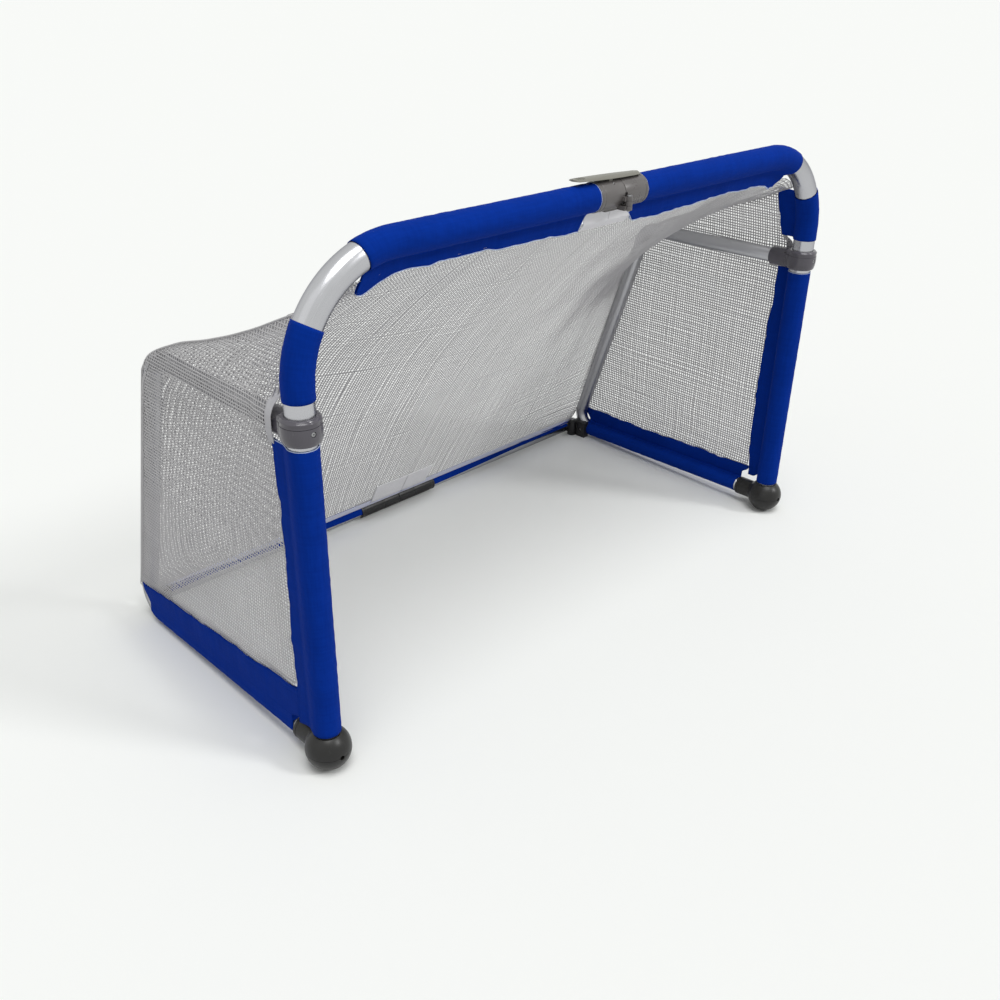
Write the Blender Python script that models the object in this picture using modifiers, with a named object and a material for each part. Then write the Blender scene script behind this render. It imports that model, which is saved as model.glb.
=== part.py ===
"""Folding soccer goal: a tubular frame that folds flat, with its net and fabric sleeves.

Metres, +Z up. X runs along the crossbar with 0 at its middle, and Y runs to the rear with 0 at the
uprights' axes. The whole goal hangs on one empty that moves the middle of its depth to the origin.
Every piece is parented to an empty on the axis that its body turns about.
"""
from math import acos, asin, atan2, cos, cosh, hypot, pi, radians, sin, sqrt

import bmesh
import bpy
from mathutils import Matrix, Vector

# Tubular frame
HALF_SPAN = 0.580           # middle of the goal to an upright's axis
CROSSBAR_Z = 0.758          # height of the crossbar's axis
CORNER_BEND = 0.156         # radius of the upper front corner
FRONT_R = 0.020
SIDE_R = 0.014
REAR_R = 0.0125
WALL = 0.0015
TOP_DEPTH = 0.381           # upper rear corner of a side tube
TOP_RUN_FALL = 0.009        # fall of its top run towards that corner
GROUND_DEPTH = 0.549        # lower rear corner
REAR_CORNER_Z = 0.018
SIDE_BEND = 0.038
SIDE_BEND_STEPS = 5
BAR_Z = 0.0196              # height of the rear bar's axis
GAP = 0.0003                # running clearance between pieces
FAR = 0.03                  # how far a cutter runs on into the open
CHAMFER = 0.001             # edge of a moulded piece
ROUND = 20                  # sides of a turned piece
PIN_SIDES = 12
TUBE_SIDES = 16
SLEEVE_SIDES = 16

# Feet and collars
FOOT_R = 0.035
FOOT_Z = 0.0335             # a little under the ball's radius, which leaves a flat to stand on
FOOT_FLOOR = 0.008          # material under the upright
FOOT_TOP = 0.0322           # rim round the upright, over the ball's middle
FOOT_ARM = 0.066
FOOT_ARM_R = 0.019
COLLAR_BELOW_BEND = 0.050   # collar's middle below the foot of the upper front corner
COLLAR_R = 0.0275
COLLAR_HEIGHT = 0.036
COLLAR_LIP = 0.002
COLLAR_ARM = 0.064
COLLAR_ARM_R = 0.018
ARM_DROP = 0.004            # side tube's axis below the collar's middle
SOCKET_WALL = 0.0055        # between the upright's bore and a side tube's end
SCREW_HEAD_R = 0.0032
SCREW_HEAD = 0.0015
SCREW_R = 0.0020
SCREW_LENGTH = 0.0042
SCREW_SINK = 0.0020         # room over a screw's head in its recess
RECESS_R = 0.0038

# Crossbar hinge and lock lever
HINGE_HALF = 0.053          # length of one half
HINGE_R = 0.0225
HINGE_SOLID = 0.035         # core that closes the tube's end
FRONT_PIVOT = 0.028         # pin in front of the crossbar's axis
KNUCKLE_R = 0.0055
KNUCKLE_TOP = -0.001        # from the crossbar's axis
KNUCKLE_STACK = 0.020
KNUCKLE_WEB = 0.009         # length of the web between a knuckle and its half, and its depth in it
HINGE_PIN_R = 0.0025
HINGE_PIN_HEAD_R = 0.0043
PIN_HEAD = 0.002
PIN_TAIL = 0.002            # pin under its last knuckle
LEVER_PIN_X = -0.020
LEVER_PIN_RISE = 0.018
LEVER_PIN_R = 0.0015
LEVER_LEFT = -0.097
LEVER_RIGHT = 0.050
LEVER_WIDTH = 0.026
LEVER_THICKNESS = 0.0018    # at its ends
LEVER_CROWN = 0.0026        # more thickness at its middle
LEVER_LIFT = 0.0062         # left end's underside over the hinge's top
EAR_INSET = 0.0053
EAR_THICKNESS = 0.0027
EAR_HALF = 0.004
EAR_SLOT = 0.006            # half of the slot's length
SPRING_X = -0.029
SPRING_R = 0.0025
SPRING_WIRE = 0.00045
SPRING_POCKET = 0.008
SPRING_TURNS = 4
SPRING_POINTS = 8           # on each turn

# Rear corners and rear hinge
PIVOT_INSET = 0.026         # corner pin inside the side tube's plane
PIVOT_AHEAD = 0.007         # corner pin ahead of the side tube's corner
BAR_BEHIND = 0.014          # rear bar's axis behind the corner pins
CORNER_PIN_R = 0.004
EYE_R = 0.011
LUG = 0.0094                # thickness of the lower lug, which stands on the ground
EYE_HEIGHT = 0.0196
BAR_SHORT = 0.014           # bar's end to the corner pin
SPIGOT = 0.018
WEB_LENGTH = 0.027
WEB_INSET = 0.002           # web's inner face outside the corner pin's axis
WEB_COVER = 0.007           # part of the side tube's width that the web leaves bare
EYE_ARM = 0.002             # eye's arm starts this far outside the pin's axis
CORNER_PIN_HEAD_R = 0.007
CORNER_PIN_HEAD = 0.0025
RIGHT_EYE_PLAY = 0.0025     # extra room in and round the eye at the one pivot where the linkage is left open
REAR_HINGE_HALF = 0.100
REAR_HINGE_R = 0.015
REAR_HINGE_SOLID = 0.012
REAR_PIVOT = 0.016          # pin behind the rear bar's axis
REAR_KNUCKLE_R = 0.005
REAR_LEAF = 0.0062          # height of one knuckle
REAR_PIN_R = 0.0022
REAR_PIN_HEAD_R = 0.004

# Fabric
CLOTH = 0.001
SLIT = 0.0004               # between the two layers of a flap
CROSSBAR_FLAP = 0.047       # from the tube's axis
FLAP_LEAN = radians(15)     # crossbar flap from straight down, towards the rear
CORNER_FLAP = 0.045
UPRIGHT_FLAP = 0.050
GROUND_FLAP = 0.046
UPRIGHT_FLAP_OUT = 0.0154   # flap outside the tube's axis
GROUND_FLAP_OUT = 0.0128
BEND_STEPS = 9              # straight pieces of the upper front corner
CROSSBAR_SLEEVE_STEP = 7    # the crossbar sleeve starts at this step, counted from the upright
CORNER_SLEEVE_STEP = 3      # and the corner sleeve ends at this one
CORNER_SLEEVE_RUN = 0.012   # it starts this far below that corner's foot
SLEEVE_CLEAR = 0.0045       # from a foot's arm and from a rear bracket
FLAP_CUTOUT = 0.047         # radius of the hollow in the left flap's end, beside the hinge
CUTOUT_UNDER = 0.004        # its highest place under the tube
FLAP_RUN_ON = 0.010         # right flap carries on under the hinge to here
STRIP_FLAP = 0.021
STRIP_HALF_ANGLE = radians(62)
NET_LEAN = radians(37.7)    # net's line at the middle, from upright towards the front
NET = 0.0016
STRAND = 0.006
NET_EDGE = 0.0005           # between a net's edge and the cloth that carries it
NET_OFF = 0.003             # between a net's edge and a tube or the other net
SIDE_NET_OUT = 0.0154       # side net outside the side tube's axis
NOTCH_REACH = 0.100         # the side net's front edge draws back this far above and below a collar's arm
SIDE_NET_LEAN_FROM = 0.055  # over the side tube's axis, where the side net starts to lean in
SEAM_END_Y = 0.335
POST_NET_LOW = 0.064        # lowest place of the back net on a side tube's rear post
BACK_GAPS = (8, 9)
SIDE_GAPS = (6, 8)
PATCH_GAPS = 2              # columns left closed at the middle, as reinforcing cloth
SADDLE = 2.1                # how fast the back net's bulge fades away from the sides

SCREW_FLOOR = FRONT_R + GAP + 0.0047
BEND_FOOT_Z = CROSSBAR_Z - CORNER_BEND
COLLAR_Z = BEND_FOOT_Z - COLLAR_BELOW_BEND
TOP_RUN_Z = COLLAR_Z - ARM_DROP
PIVOT_X = HALF_SPAN - PIVOT_INSET
PIVOT_Y = GROUND_DEPTH - PIVOT_AHEAD
BAR_Y = PIVOT_Y + BAR_BEHIND
REAR_PIVOT_Y = BAR_Y + REAR_PIVOT
MIDDLE_Y = (REAR_PIVOT_Y + REAR_KNUCKLE_R - FOOT_R) / 2
EYE_Z = LUG + GAP + EYE_HEIGHT / 2

COLOURS = {
    "aluminium": ((0.62, 0.62, 0.62), 0.35, 1.0),
    "side_aluminium": ((0.36, 0.35, 0.35), 0.40, 1.0),
    "collar_plastic": ((0.075, 0.068, 0.075), 0.32, 0.0),
    "foot_plastic": ((0.045, 0.042, 0.045), 0.38, 0.0),
    "hinge_grey": ((0.16, 0.15, 0.15), 0.38, 0.3),
    "lever_grey": ((0.24, 0.23, 0.19), 0.45, 0.0),
    "rear_plastic": ((0.028, 0.028, 0.028), 0.45, 0.0),
    "pin_steel": ((0.45, 0.45, 0.46), 0.30, 1.0),
    "blue_cloth": ((0.006, 0.027, 0.30), 0.70, 0.0),
    "net_white": ((0.80, 0.80, 0.80), 0.80, 0.0),
}

parts = bpy.data.collections.new("folding_soccer_goal")
cutters = bpy.data.collections.new("cutters")
pivots = {}
materials = {}


def clear(radius, sides=ROUND):
    """Radius of a many-sided bore whose flats clear a round piece of this radius."""
    return (radius + GAP) / cos(pi / sides)


def material(name):
    if name not in materials:
        colour, roughness, metallic = COLOURS[name]
        made = bpy.data.materials.new(name)
        made.use_nodes = True
        shader = made.node_tree.nodes["Principled BSDF"]
        shader.inputs["Base Color"].default_value = (*colour, 1)
        shader.inputs["Roughness"].default_value = roughness
        shader.inputs["Metallic"].default_value = metallic
        made.diffuse_color = (*colour, 1)
        materials[name] = made
    return materials[name]


def pivot(name, place, parent=None):
    """An empty on the axis that a body turns about."""
    empty = bpy.data.objects.new(name + "_pivot", None)
    parts.objects.link(empty)
    empty.empty_display_size = 0.03
    base = Vector((0, 0, 0))
    if parent is not None:
        empty.parent = pivots[parent][0]
        base = pivots[parent][1]
    empty.location = Vector(place) - base
    pivots[name] = (empty, Vector(place))


def put(data, name, body, place=(0, 0, 0), finish=None, turn=None):
    """An object at a place of the goal, carried by a body; without a finish it is a cutter."""
    made = bpy.data.objects.new(name, data)
    empty, base = pivots[body]
    made.parent = empty
    made.location = Vector(place) - base
    if turn is not None:
        made.rotation_euler = turn
    if finish is None:
        cutters.objects.link(made)
        made.display_type = "WIRE"
        made.hide_render = True
    else:
        parts.objects.link(made)
        data.materials.append(material(finish))
    return made


def aim(direction):
    """Turn that brings +Z onto a direction."""
    return Vector(direction).to_track_quat("Z", "Y").to_euler()


ALONG_X = aim((1, 0, 0))
ALONG_Y = aim((0, 1, 0))


def box_mesh(low, high):
    low, high = Vector(low), Vector(high)
    bm = bmesh.new()
    size = high - low
    bmesh.ops.create_cube(bm, size=1, matrix=Matrix.Diagonal((abs(size.x), abs(size.y), abs(size.z), 1)))
    bmesh.ops.translate(bm, verts=bm.verts, vec=(low + high) / 2)
    mesh = bpy.data.meshes.new("box")
    bm.to_mesh(mesh)
    bm.free()
    return mesh


def rod_mesh(radius, start, end, sides=ROUND):
    """A cylinder along Z between two heights."""
    bm = bmesh.new()
    bmesh.ops.create_cone(bm, cap_ends=True, segments=sides, radius1=radius, radius2=radius,
                          depth=end - start)
    bmesh.ops.translate(bm, verts=bm.verts, vec=(0, 0, (start + end) / 2))
    mesh = bpy.data.meshes.new("rod")
    bm.to_mesh(mesh)
    bm.free()
    return mesh


def turned_mesh(profile, sides=ROUND):
    """A profile of radius and height, top to bottom, turned about Z."""
    bm = bmesh.new()
    corners = [bm.verts.new((r, 0, z)) for r, z in profile]
    for first, second in zip(corners, corners[1:]):
        bm.edges.new((first, second))
    mesh = bpy.data.meshes.new("profile")
    bm.to_mesh(mesh)
    bm.free()
    helper = bpy.data.objects.new("profile", mesh)
    bpy.context.scene.collection.objects.link(helper)
    screw = helper.modifiers.new("turn", "SCREW")
    screw.steps = sides
    screw.render_steps = sides
    screw.use_merge_vertices = True
    screw.merge_threshold = 0.00001
    screw.use_smooth_shade = True
    return take_mesh(helper)


def take_mesh(helper):
    """The evaluated mesh of a helper object, which is then removed; loose caps are welded."""
    bpy.context.view_layer.update()
    graph = bpy.context.evaluated_depsgraph_get()
    mesh = bpy.data.meshes.new_from_object(helper.evaluated_get(graph))
    bpy.data.objects.remove(helper)
    bm = bmesh.new()
    bm.from_mesh(mesh)
    bmesh.ops.remove_doubles(bm, verts=bm.verts, dist=0.00001)
    bm.to_mesh(mesh)
    bm.free()
    return mesh


def pin_mesh(radius, length, head_r, head):
    """A headed pin along Z: its head is over 0 and its shank under it."""
    return turned_mesh([(0, head), (head_r * 0.8, head), (head_r, head * 0.7), (head_r, 0), (radius, 0),
                        (radius, -length), (0, -length)], PIN_SIDES)


def rounded(points, radius, steps):
    """A run of points with every inner corner rounded."""
    points = [Vector(p) for p in points]
    out = [points[0]]
    for before, corner, after in zip(points, points[1:], points[2:]):
        u = (before - corner).normalized()
        v = (after - corner).normalized()
        half = u.angle(v) / 2
        centre = corner + (u + v).normalized() * radius / sin(half)
        reach = radius * cos(half) / sin(half)
        start = corner + u * reach - centre
        end = corner + v * reach - centre
        turn = pi - 2 * half
        for k in range(steps + 1):
            w = k / steps
            out.append(centre + (start * sin((1 - w) * turn) + end * sin(w * turn)) / sin(turn))
    out.append(points[-1])
    return out


def curve(points, name="run"):
    data = bpy.data.curves.new(name, "CURVE")
    data.dimensions = "3D"
    spline = data.splines.new("POLY")
    spline.points.add(len(points) - 1)
    for target, p in zip(spline.points, points):
        target.co = (*p, 1)
    return data


def tube_curve(points, radius, sides=TUBE_SIDES):
    data = curve(points)
    data.bevel_depth = radius
    data.bevel_resolution = sides // 2 - 2
    data.use_fill_caps = True
    return data


def tube_mesh(points, radius, sides=TUBE_SIDES):
    """A solid round bar along points, as a mesh for cutting."""
    helper = bpy.data.objects.new("bar", tube_curve(points, radius, sides))
    bpy.context.scene.collection.objects.link(helper)
    return take_mesh(helper)


def outline_curve(points):
    """A closed flat outline in a curve's own XY plane."""
    data = bpy.data.curves.new("outline", "CURVE")
    data.dimensions = "2D"
    data.fill_mode = "BOTH"
    spline = data.splines.new("POLY")
    spline.points.add(len(points) - 1)
    for target, (x, y) in zip(spline.points, points):
        target.co = (x, y, 0, 1)
    spline.use_cyclic_u = True
    return data


def combine(target, tool, operation):
    """A live Boolean between a piece and a hidden tool object."""
    step = target.modifiers.new(operation.lower(), "BOOLEAN")
    step.operation = operation
    step.solver = "EXACT"
    step.object = tool


def cut(target, data, body, place=(0, 0, 0), turn=None):
    combine(target, put(data, target.name + "_cut", body, place, turn=turn), "DIFFERENCE")


def add(target, data, body, place=(0, 0, 0), turn=None):
    combine(target, put(data, target.name + "_add", body, place, turn=turn), "UNION")


def settle(piece):
    """Applies a piece's modifiers and shades its round faces smooth."""
    bpy.context.view_layer.update()
    graph = bpy.context.evaluated_depsgraph_get()
    mesh = bpy.data.meshes.new_from_object(piece.evaluated_get(graph))
    mesh.name = piece.name
    piece.modifiers.clear()
    piece.data = mesh
    mesh.shade_smooth()
    mesh.set_sharp_from_angle(angle=radians(35))


def name_of(side):
    return "left" if side < 0 else "right"


def side_line(side, start):
    """Points along a side tube's axis, from its top end at the collar round to its end in the foot."""
    top_corner_z = TOP_RUN_Z - TOP_RUN_FALL
    top_z = TOP_RUN_Z - TOP_RUN_FALL * start / TOP_DEPTH
    ground_z = FOOT_Z + (REAR_CORNER_Z - FOOT_Z) * start / GROUND_DEPTH
    x = side * HALF_SPAN
    corners = [(x, start, top_z), (x, TOP_DEPTH, top_corner_z), (x, GROUND_DEPTH, REAR_CORNER_Z),
               (x, start, ground_z)]
    return rounded(corners, SIDE_BEND, SIDE_BEND_STEPS)


def hollow_tube(name, body, points, radius, finish, sides=TUBE_SIDES):
    """An open-ended tube: a bevelled curve with its wall turned inwards."""
    base = pivots[body][1]
    data = tube_curve([Vector(p) - base for p in points], radius, sides)
    data.use_fill_caps = False
    made = put(data, name, body, base, finish)
    wall = made.modifiers.new("wall", "SOLIDIFY")
    wall.thickness = WALL
    wall.offset = -1
    return made


# Bodies and the axes they turn about

def make_pivots():
    pivot("goal", (0, MIDDLE_Y, 0))
    pivots["goal"][0].location = (0, 0, 0)
    pivot("left_side", (-HALF_SPAN, 0, 0), "goal")
    pivot("front_left", (-HALF_SPAN, 0, 0), "left_side")
    pivot("front_right", (0, -FRONT_PIVOT, CROSSBAR_Z), "front_left")
    pivot("lock_lever", (LEVER_PIN_X, 0, CROSSBAR_Z + LEVER_PIN_RISE), "front_left")
    pivot("right_side", (HALF_SPAN, 0, 0), "front_right")
    pivot("rear_left", (-PIVOT_X, PIVOT_Y, 0), "left_side")
    pivot("rear_right", (0, REAR_PIVOT_Y, 0), "rear_left")


def front(side):
    return "front_" + name_of(side)


def side_body(side):
    return name_of(side) + "_side"


def rear(side):
    return "rear_" + name_of(side)


# Tubes

def front_tube(side):
    x = side * HALF_SPAN
    line = rounded([(x, 0, FOOT_FLOOR + GAP), (x, 0, CROSSBAR_Z),
                    (side * (HINGE_SOLID + GAP), 0, CROSSBAR_Z)], CORNER_BEND, BEND_STEPS)
    hollow_tube(name_of(side) + "_front_tube", front(side), line, FRONT_R, "aluminium")


def side_tube(side):
    line = side_line(side, FRONT_R + GAP + SOCKET_WALL + GAP)
    hollow_tube(name_of(side) + "_side_tube", side_body(side), line, SIDE_R, "side_aluminium", 12)


def rear_bar(side):
    line = [(side * (PIVOT_X - BAR_SHORT), BAR_Y, BAR_Z), (side * (REAR_HINGE_SOLID + GAP), BAR_Y, BAR_Z)]
    hollow_tube(name_of(side) + "_rear_bar", rear(side), line, REAR_R, "aluminium")


# Feet, collars and their screws

def screw_recess():
    """Stepped hole for a set screw: its recess is over 0 and its shank's hole under it."""
    shank = clear(SCREW_R, PIN_SIDES)
    depth = 2 * SCREW_LENGTH
    return turned_mesh([(0, FAR), (RECESS_R, FAR), (RECESS_R, 0), (shank, 0), (shank, -depth),
                        (0, -depth)], PIN_SIDES)


def foot(side):
    body = side_body(side)
    axis = (side * HALF_SPAN, 0, FOOT_Z)
    run = Vector((0, GROUND_DEPTH, REAR_CORNER_Z - FOOT_Z))
    shoulder = atan2(FOOT_ARM_R, FOOT_ARM) + acos(FOOT_R / hypot(FOOT_ARM_R, FOOT_ARM))
    steps = 6
    turns = [shoulder + (pi - shoulder) * k / steps for k in range(steps)]
    profile = [(0, FOOT_ARM), (FOOT_ARM_R - CHAMFER, FOOT_ARM), (FOOT_ARM_R, FOOT_ARM - CHAMFER)]
    profile += [(FOOT_R * sin(t), FOOT_R * cos(t)) for t in turns]
    profile.append((0, -FOOT_R))
    made = put(turned_mesh(profile), name_of(side) + "_foot", body, axis, "foot_plastic", aim(run))
    below = box_mesh((-0.1, -0.1, -0.1), (0.1, 0.1, 0))
    cut(made, below, body, (side * HALF_SPAN, 0, 0))
    cut(made, rod_mesh(clear(FRONT_R), FOOT_FLOOR, 0.2), body, (side * HALF_SPAN, 0, 0))
    x = side * HALF_SPAN
    start = FRONT_R + GAP + SOCKET_WALL
    bore = [(x, y, FOOT_Z + (REAR_CORNER_Z - FOOT_Z) * y / GROUND_DEPTH) for y in (start, 0.1)]
    cut(made, tube_mesh(bore, clear(SIDE_R, 12), 12), body)
    cut(made, screw_recess(), body, (x, -SCREW_FLOOR, FOOT_Z), aim((0, -1, 0)))
    settle(made)


def collar(side):
    body = side_body(side)
    x = side * HALF_SPAN
    half = COLLAR_HEIGHT / 2
    profile = [(0, half), (COLLAR_R - COLLAR_LIP, half), (COLLAR_R, half - COLLAR_LIP),
               (COLLAR_R, COLLAR_LIP - half), (COLLAR_R - COLLAR_LIP, -half), (0, -half)]
    made = put(turned_mesh(profile), name_of(side) + "_collar", body, (x, 0, COLLAR_Z), "collar_plastic")
    run = Vector((0, TOP_DEPTH, -TOP_RUN_FALL))
    arm = [(0, COLLAR_ARM), (COLLAR_ARM_R - CHAMFER, COLLAR_ARM), (COLLAR_ARM_R, COLLAR_ARM - CHAMFER),
           (COLLAR_ARM_R, FRONT_R / 2), (0, FRONT_R / 2)]
    add(made, turned_mesh(arm), body, (x, 0, TOP_RUN_Z), aim(run))
    cut(made, rod_mesh(clear(FRONT_R), -FAR, FAR), body, (x, 0, COLLAR_Z))
    start = FRONT_R + GAP + SOCKET_WALL
    bore = [(x, y, TOP_RUN_Z - TOP_RUN_FALL * y / TOP_DEPTH) for y in (start, 0.1)]
    cut(made, tube_mesh(bore, clear(SIDE_R, 12), 12), body)
    cut(made, screw_recess(), body, (x, -SCREW_FLOOR, COLLAR_Z), aim((0, -1, 0)))
    settle(made)


def web_x():
    """Inner face of a rear bracket's web, as a distance from the middle."""
    return PIVOT_X + WEB_INSET


def screws(side):
    """The three set screws of a side frame: foot, collar and rear bracket."""
    x = side * HALF_SPAN
    seats = {"foot": ((x, -SCREW_FLOOR - GAP, FOOT_Z), (0, -1, 0)),
             "collar": ((x, -SCREW_FLOOR - GAP, COLLAR_Z), (0, -1, 0)),
             "bracket": ((side * (web_x() + SCREW_SINK + SCREW_HEAD - GAP), screw_y(), BAR_Z), (-side, 0, 0))}
    for seat, (place, direction) in seats.items():
        mesh = pin_mesh(SCREW_R, SCREW_LENGTH, SCREW_HEAD_R, SCREW_HEAD)
        name = name_of(side) + "_" + seat + "_screw"
        settle(put(mesh, name, side_body(side), place, "pin_steel", aim(direction)))


# Crossbar hinge with its pin, lever, lever pin and spring

def leaves(side):
    """Heights of the knuckles that one half of the crossbar hinge has, from the crossbar's axis."""
    leaf = (KNUCKLE_STACK - 2 * GAP) / 3
    low = KNUCKLE_TOP - KNUCKLE_STACK
    starts = [low, low + 2 * (leaf + GAP)] if side < 0 else [low + leaf + GAP]
    return [(start, start + leaf) for start in starts]


def crossbar_hinge(side):
    body = front(side)
    middle = (0, 0, CROSSBAR_Z)
    pin = (0, -FRONT_PIVOT, CROSSBAR_Z)
    outward = aim((side, 0, 0))
    made = put(rod_mesh(HINGE_R, GAP, HINGE_HALF), "crossbar_hinge_" + name_of(side), body, middle,
               "hinge_grey", outward)
    for low, high in leaves(side):
        add(made, rod_mesh(KNUCKLE_R, low, high, 16), body, pin)
        web = box_mesh((0, -FRONT_PIVOT, low), (side * KNUCKLE_WEB, KNUCKLE_WEB - HINGE_R, high))
        add(made, web, body, middle)
    for low, high in leaves(-side):
        cut(made, rod_mesh(clear(KNUCKLE_R, 16), low - GAP, high + GAP, 16), body, pin)
    cut(made, rod_mesh(clear(HINGE_PIN_R, PIN_SIDES), -FAR, FAR, PIN_SIDES), body, pin)
    cut(made, rod_mesh(clear(FRONT_R), HINGE_SOLID, HINGE_HALF + FAR), body, middle, outward)
    if side < 0:
        pin_z = CROSSBAR_Z + LEVER_PIN_RISE
        for y in (EAR_INSET - GAP, -EAR_INSET - EAR_THICKNESS - GAP):
            slot = box_mesh((-EAR_SLOT, y, -EAR_SLOT), (EAR_SLOT, y + EAR_THICKNESS + 2 * GAP, FAR))
            cut(made, slot, body, (LEVER_PIN_X, 0, pin_z))
        bore = rod_mesh(clear(LEVER_PIN_R, PIN_SIDES), -EAR_INSET, FAR, PIN_SIDES)
        cut(made, bore, body, (LEVER_PIN_X, 0, pin_z), aim((0, -1, 0)))
        pocket = rod_mesh(SPRING_R + SPRING_WIRE + GAP, pocket_floor(), FAR, PIN_SIDES)
        cut(made, pocket, body, (SPRING_X, 0, CROSSBAR_Z))
    settle(made)


def pocket_floor():
    return HINGE_R - SPRING_POCKET


def hinge_pin():
    head_z = CROSSBAR_Z + KNUCKLE_TOP + GAP
    mesh = pin_mesh(HINGE_PIN_R, KNUCKLE_STACK + PIN_TAIL, HINGE_PIN_HEAD_R, PIN_HEAD)
    settle(put(mesh, "crossbar_hinge_pin", "front_left", (0, -FRONT_PIVOT, head_z), "pin_steel"))


def lever_underside(x):
    """Height of the lever's underside over the hinge's top: it falls from its left end to its right."""
    share = max(0, (LEVER_RIGHT - x) / (LEVER_RIGHT - LEVER_LEFT))
    return 2 * GAP + (LEVER_LIFT - 2 * GAP) * share ** 1.5


def lock_lever():
    steps = 8
    under = []
    over = []
    for k in range(steps + 1):
        share = k / steps
        x = LEVER_LEFT + (LEVER_RIGHT - LEVER_LEFT) * share
        z = HINGE_R + lever_underside(x)
        under.append((x - LEVER_PIN_X, z - LEVER_PIN_RISE))
        crown = LEVER_THICKNESS + LEVER_CROWN * sin(pi * share)
        over.append((x - LEVER_PIN_X, z - LEVER_PIN_RISE + crown))
    data = outline_curve(under + over[::-1])
    data.extrude = LEVER_WIDTH / 2
    helper = bpy.data.objects.new("plate", data)
    bpy.context.scene.collection.objects.link(helper)
    helper.rotation_euler = (pi / 2, 0, 0)
    turn = helper.rotation_euler.to_matrix().to_4x4()
    mesh = take_mesh(helper)
    mesh.transform(turn)
    pin = (LEVER_PIN_X, 0, CROSSBAR_Z + LEVER_PIN_RISE)
    made = put(mesh, "lock_lever", "lock_lever", pin, "lever_grey")
    edges = made.modifiers.new("edges", "BEVEL")
    edges.width = LEVER_THICKNESS / 3
    edges.segments = 1
    edges.limit_method = "ANGLE"
    rise = HINGE_R - LEVER_PIN_RISE + lever_underside(LEVER_PIN_X) + LEVER_THICKNESS
    for y in (EAR_INSET, -EAR_INSET - EAR_THICKNESS):
        ear = box_mesh((-EAR_HALF, y, -EAR_HALF), (EAR_HALF, y + EAR_THICKNESS, rise))
        add(made, ear, "lock_lever", pin)
    cut(made, rod_mesh(clear(LEVER_PIN_R, PIN_SIDES), -FAR, FAR, PIN_SIDES), "lock_lever", pin, ALONG_Y)
    settle(made)


def lever_pin():
    half_width = sqrt(HINGE_R ** 2 - LEVER_PIN_RISE ** 2)
    mesh = rod_mesh(LEVER_PIN_R, -EAR_INSET - EAR_THICKNESS, half_width - GAP, PIN_SIDES)
    place = (LEVER_PIN_X, 0, CROSSBAR_Z + LEVER_PIN_RISE)
    settle(put(mesh, "lever_pin", "front_left", place, "pin_steel", aim((0, -1, 0))))


def lever_spring():
    """A short coil that lifts the lever's left arm; its least gap to itself is printed."""
    low = CROSSBAR_Z + pocket_floor() + GAP + SPRING_WIRE
    high = CROSSBAR_Z + HINGE_R + lever_underside(SPRING_X + SPRING_R) - GAP - SPRING_WIRE
    count = SPRING_TURNS * SPRING_POINTS
    points = []
    for k in range(count + 1):
        turn = 2 * pi * k / SPRING_POINTS
        points.append((SPRING_R * cos(turn), SPRING_R * sin(turn), low + (high - low) * k / count))
    pitch = (high - low) / SPRING_TURNS
    print("lever spring: least gap between turns %.2f mm" % ((pitch - 2 * SPRING_WIRE) * 1000))
    data = tube_curve([Vector(p) - Vector((0, 0, low)) for p in points], SPRING_WIRE, 6)
    put(data, "lever_spring", "front_left", (SPRING_X, 0, low), "pin_steel")


# Rear corner brackets, rear bar's end fittings and rear hinge

def screw_y():
    return PIVOT_Y - EYE_R - WEB_LENGTH / 2


def eye_play(side):
    return RIGHT_EYE_PLAY if side > 0 else 0


def eye_room(side):
    """Radius that the eye needs free round the corner pin's axis."""
    return EYE_R + 2 * GAP + eye_play(side)


def corner_bracket(side):
    body = side_body(side)
    corner = (side * PIVOT_X, PIVOT_Y, 0)
    top = 2 * LUG + EYE_HEIGHT + 2 * GAP
    made = put(rod_mesh(EYE_R, 0, top), name_of(side) + "_corner_bracket", body, corner, "rear_plastic")
    inner = side * (web_x() - PIVOT_X)
    outer = side * (HALF_SPAN - PIVOT_X - WEB_COVER)
    web = box_mesh((inner, -EYE_R - WEB_LENGTH, 0), (outer, 0, top - GAP))
    add(made, web, body, corner)
    seat = rod_mesh(eye_room(side), LUG, LUG + EYE_HEIGHT + 2 * GAP)
    cut(made, seat, body, corner)
    cut(made, tube_mesh(side_line(side, 0.3), clear(SIDE_R, 12), 12), body)
    cut(made, rod_mesh(clear(CORNER_PIN_R, PIN_SIDES), CHAMFER, top + FAR, PIN_SIDES), body, corner)
    place = (side * (web_x() + SCREW_SINK + SCREW_HEAD), screw_y(), BAR_Z)
    cut(made, screw_recess(), body, place, aim((-side, 0, 0)))
    settle(made)


def corner_pin(side):
    top = 2 * LUG + EYE_HEIGHT + 2 * GAP
    mesh = pin_mesh(CORNER_PIN_R, top - 2 * CHAMFER, CORNER_PIN_HEAD_R, CORNER_PIN_HEAD)
    place = (side * PIVOT_X, PIVOT_Y, top + GAP)
    settle(put(mesh, name_of(side) + "_corner_pin", side_body(side), place, "pin_steel"))


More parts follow.
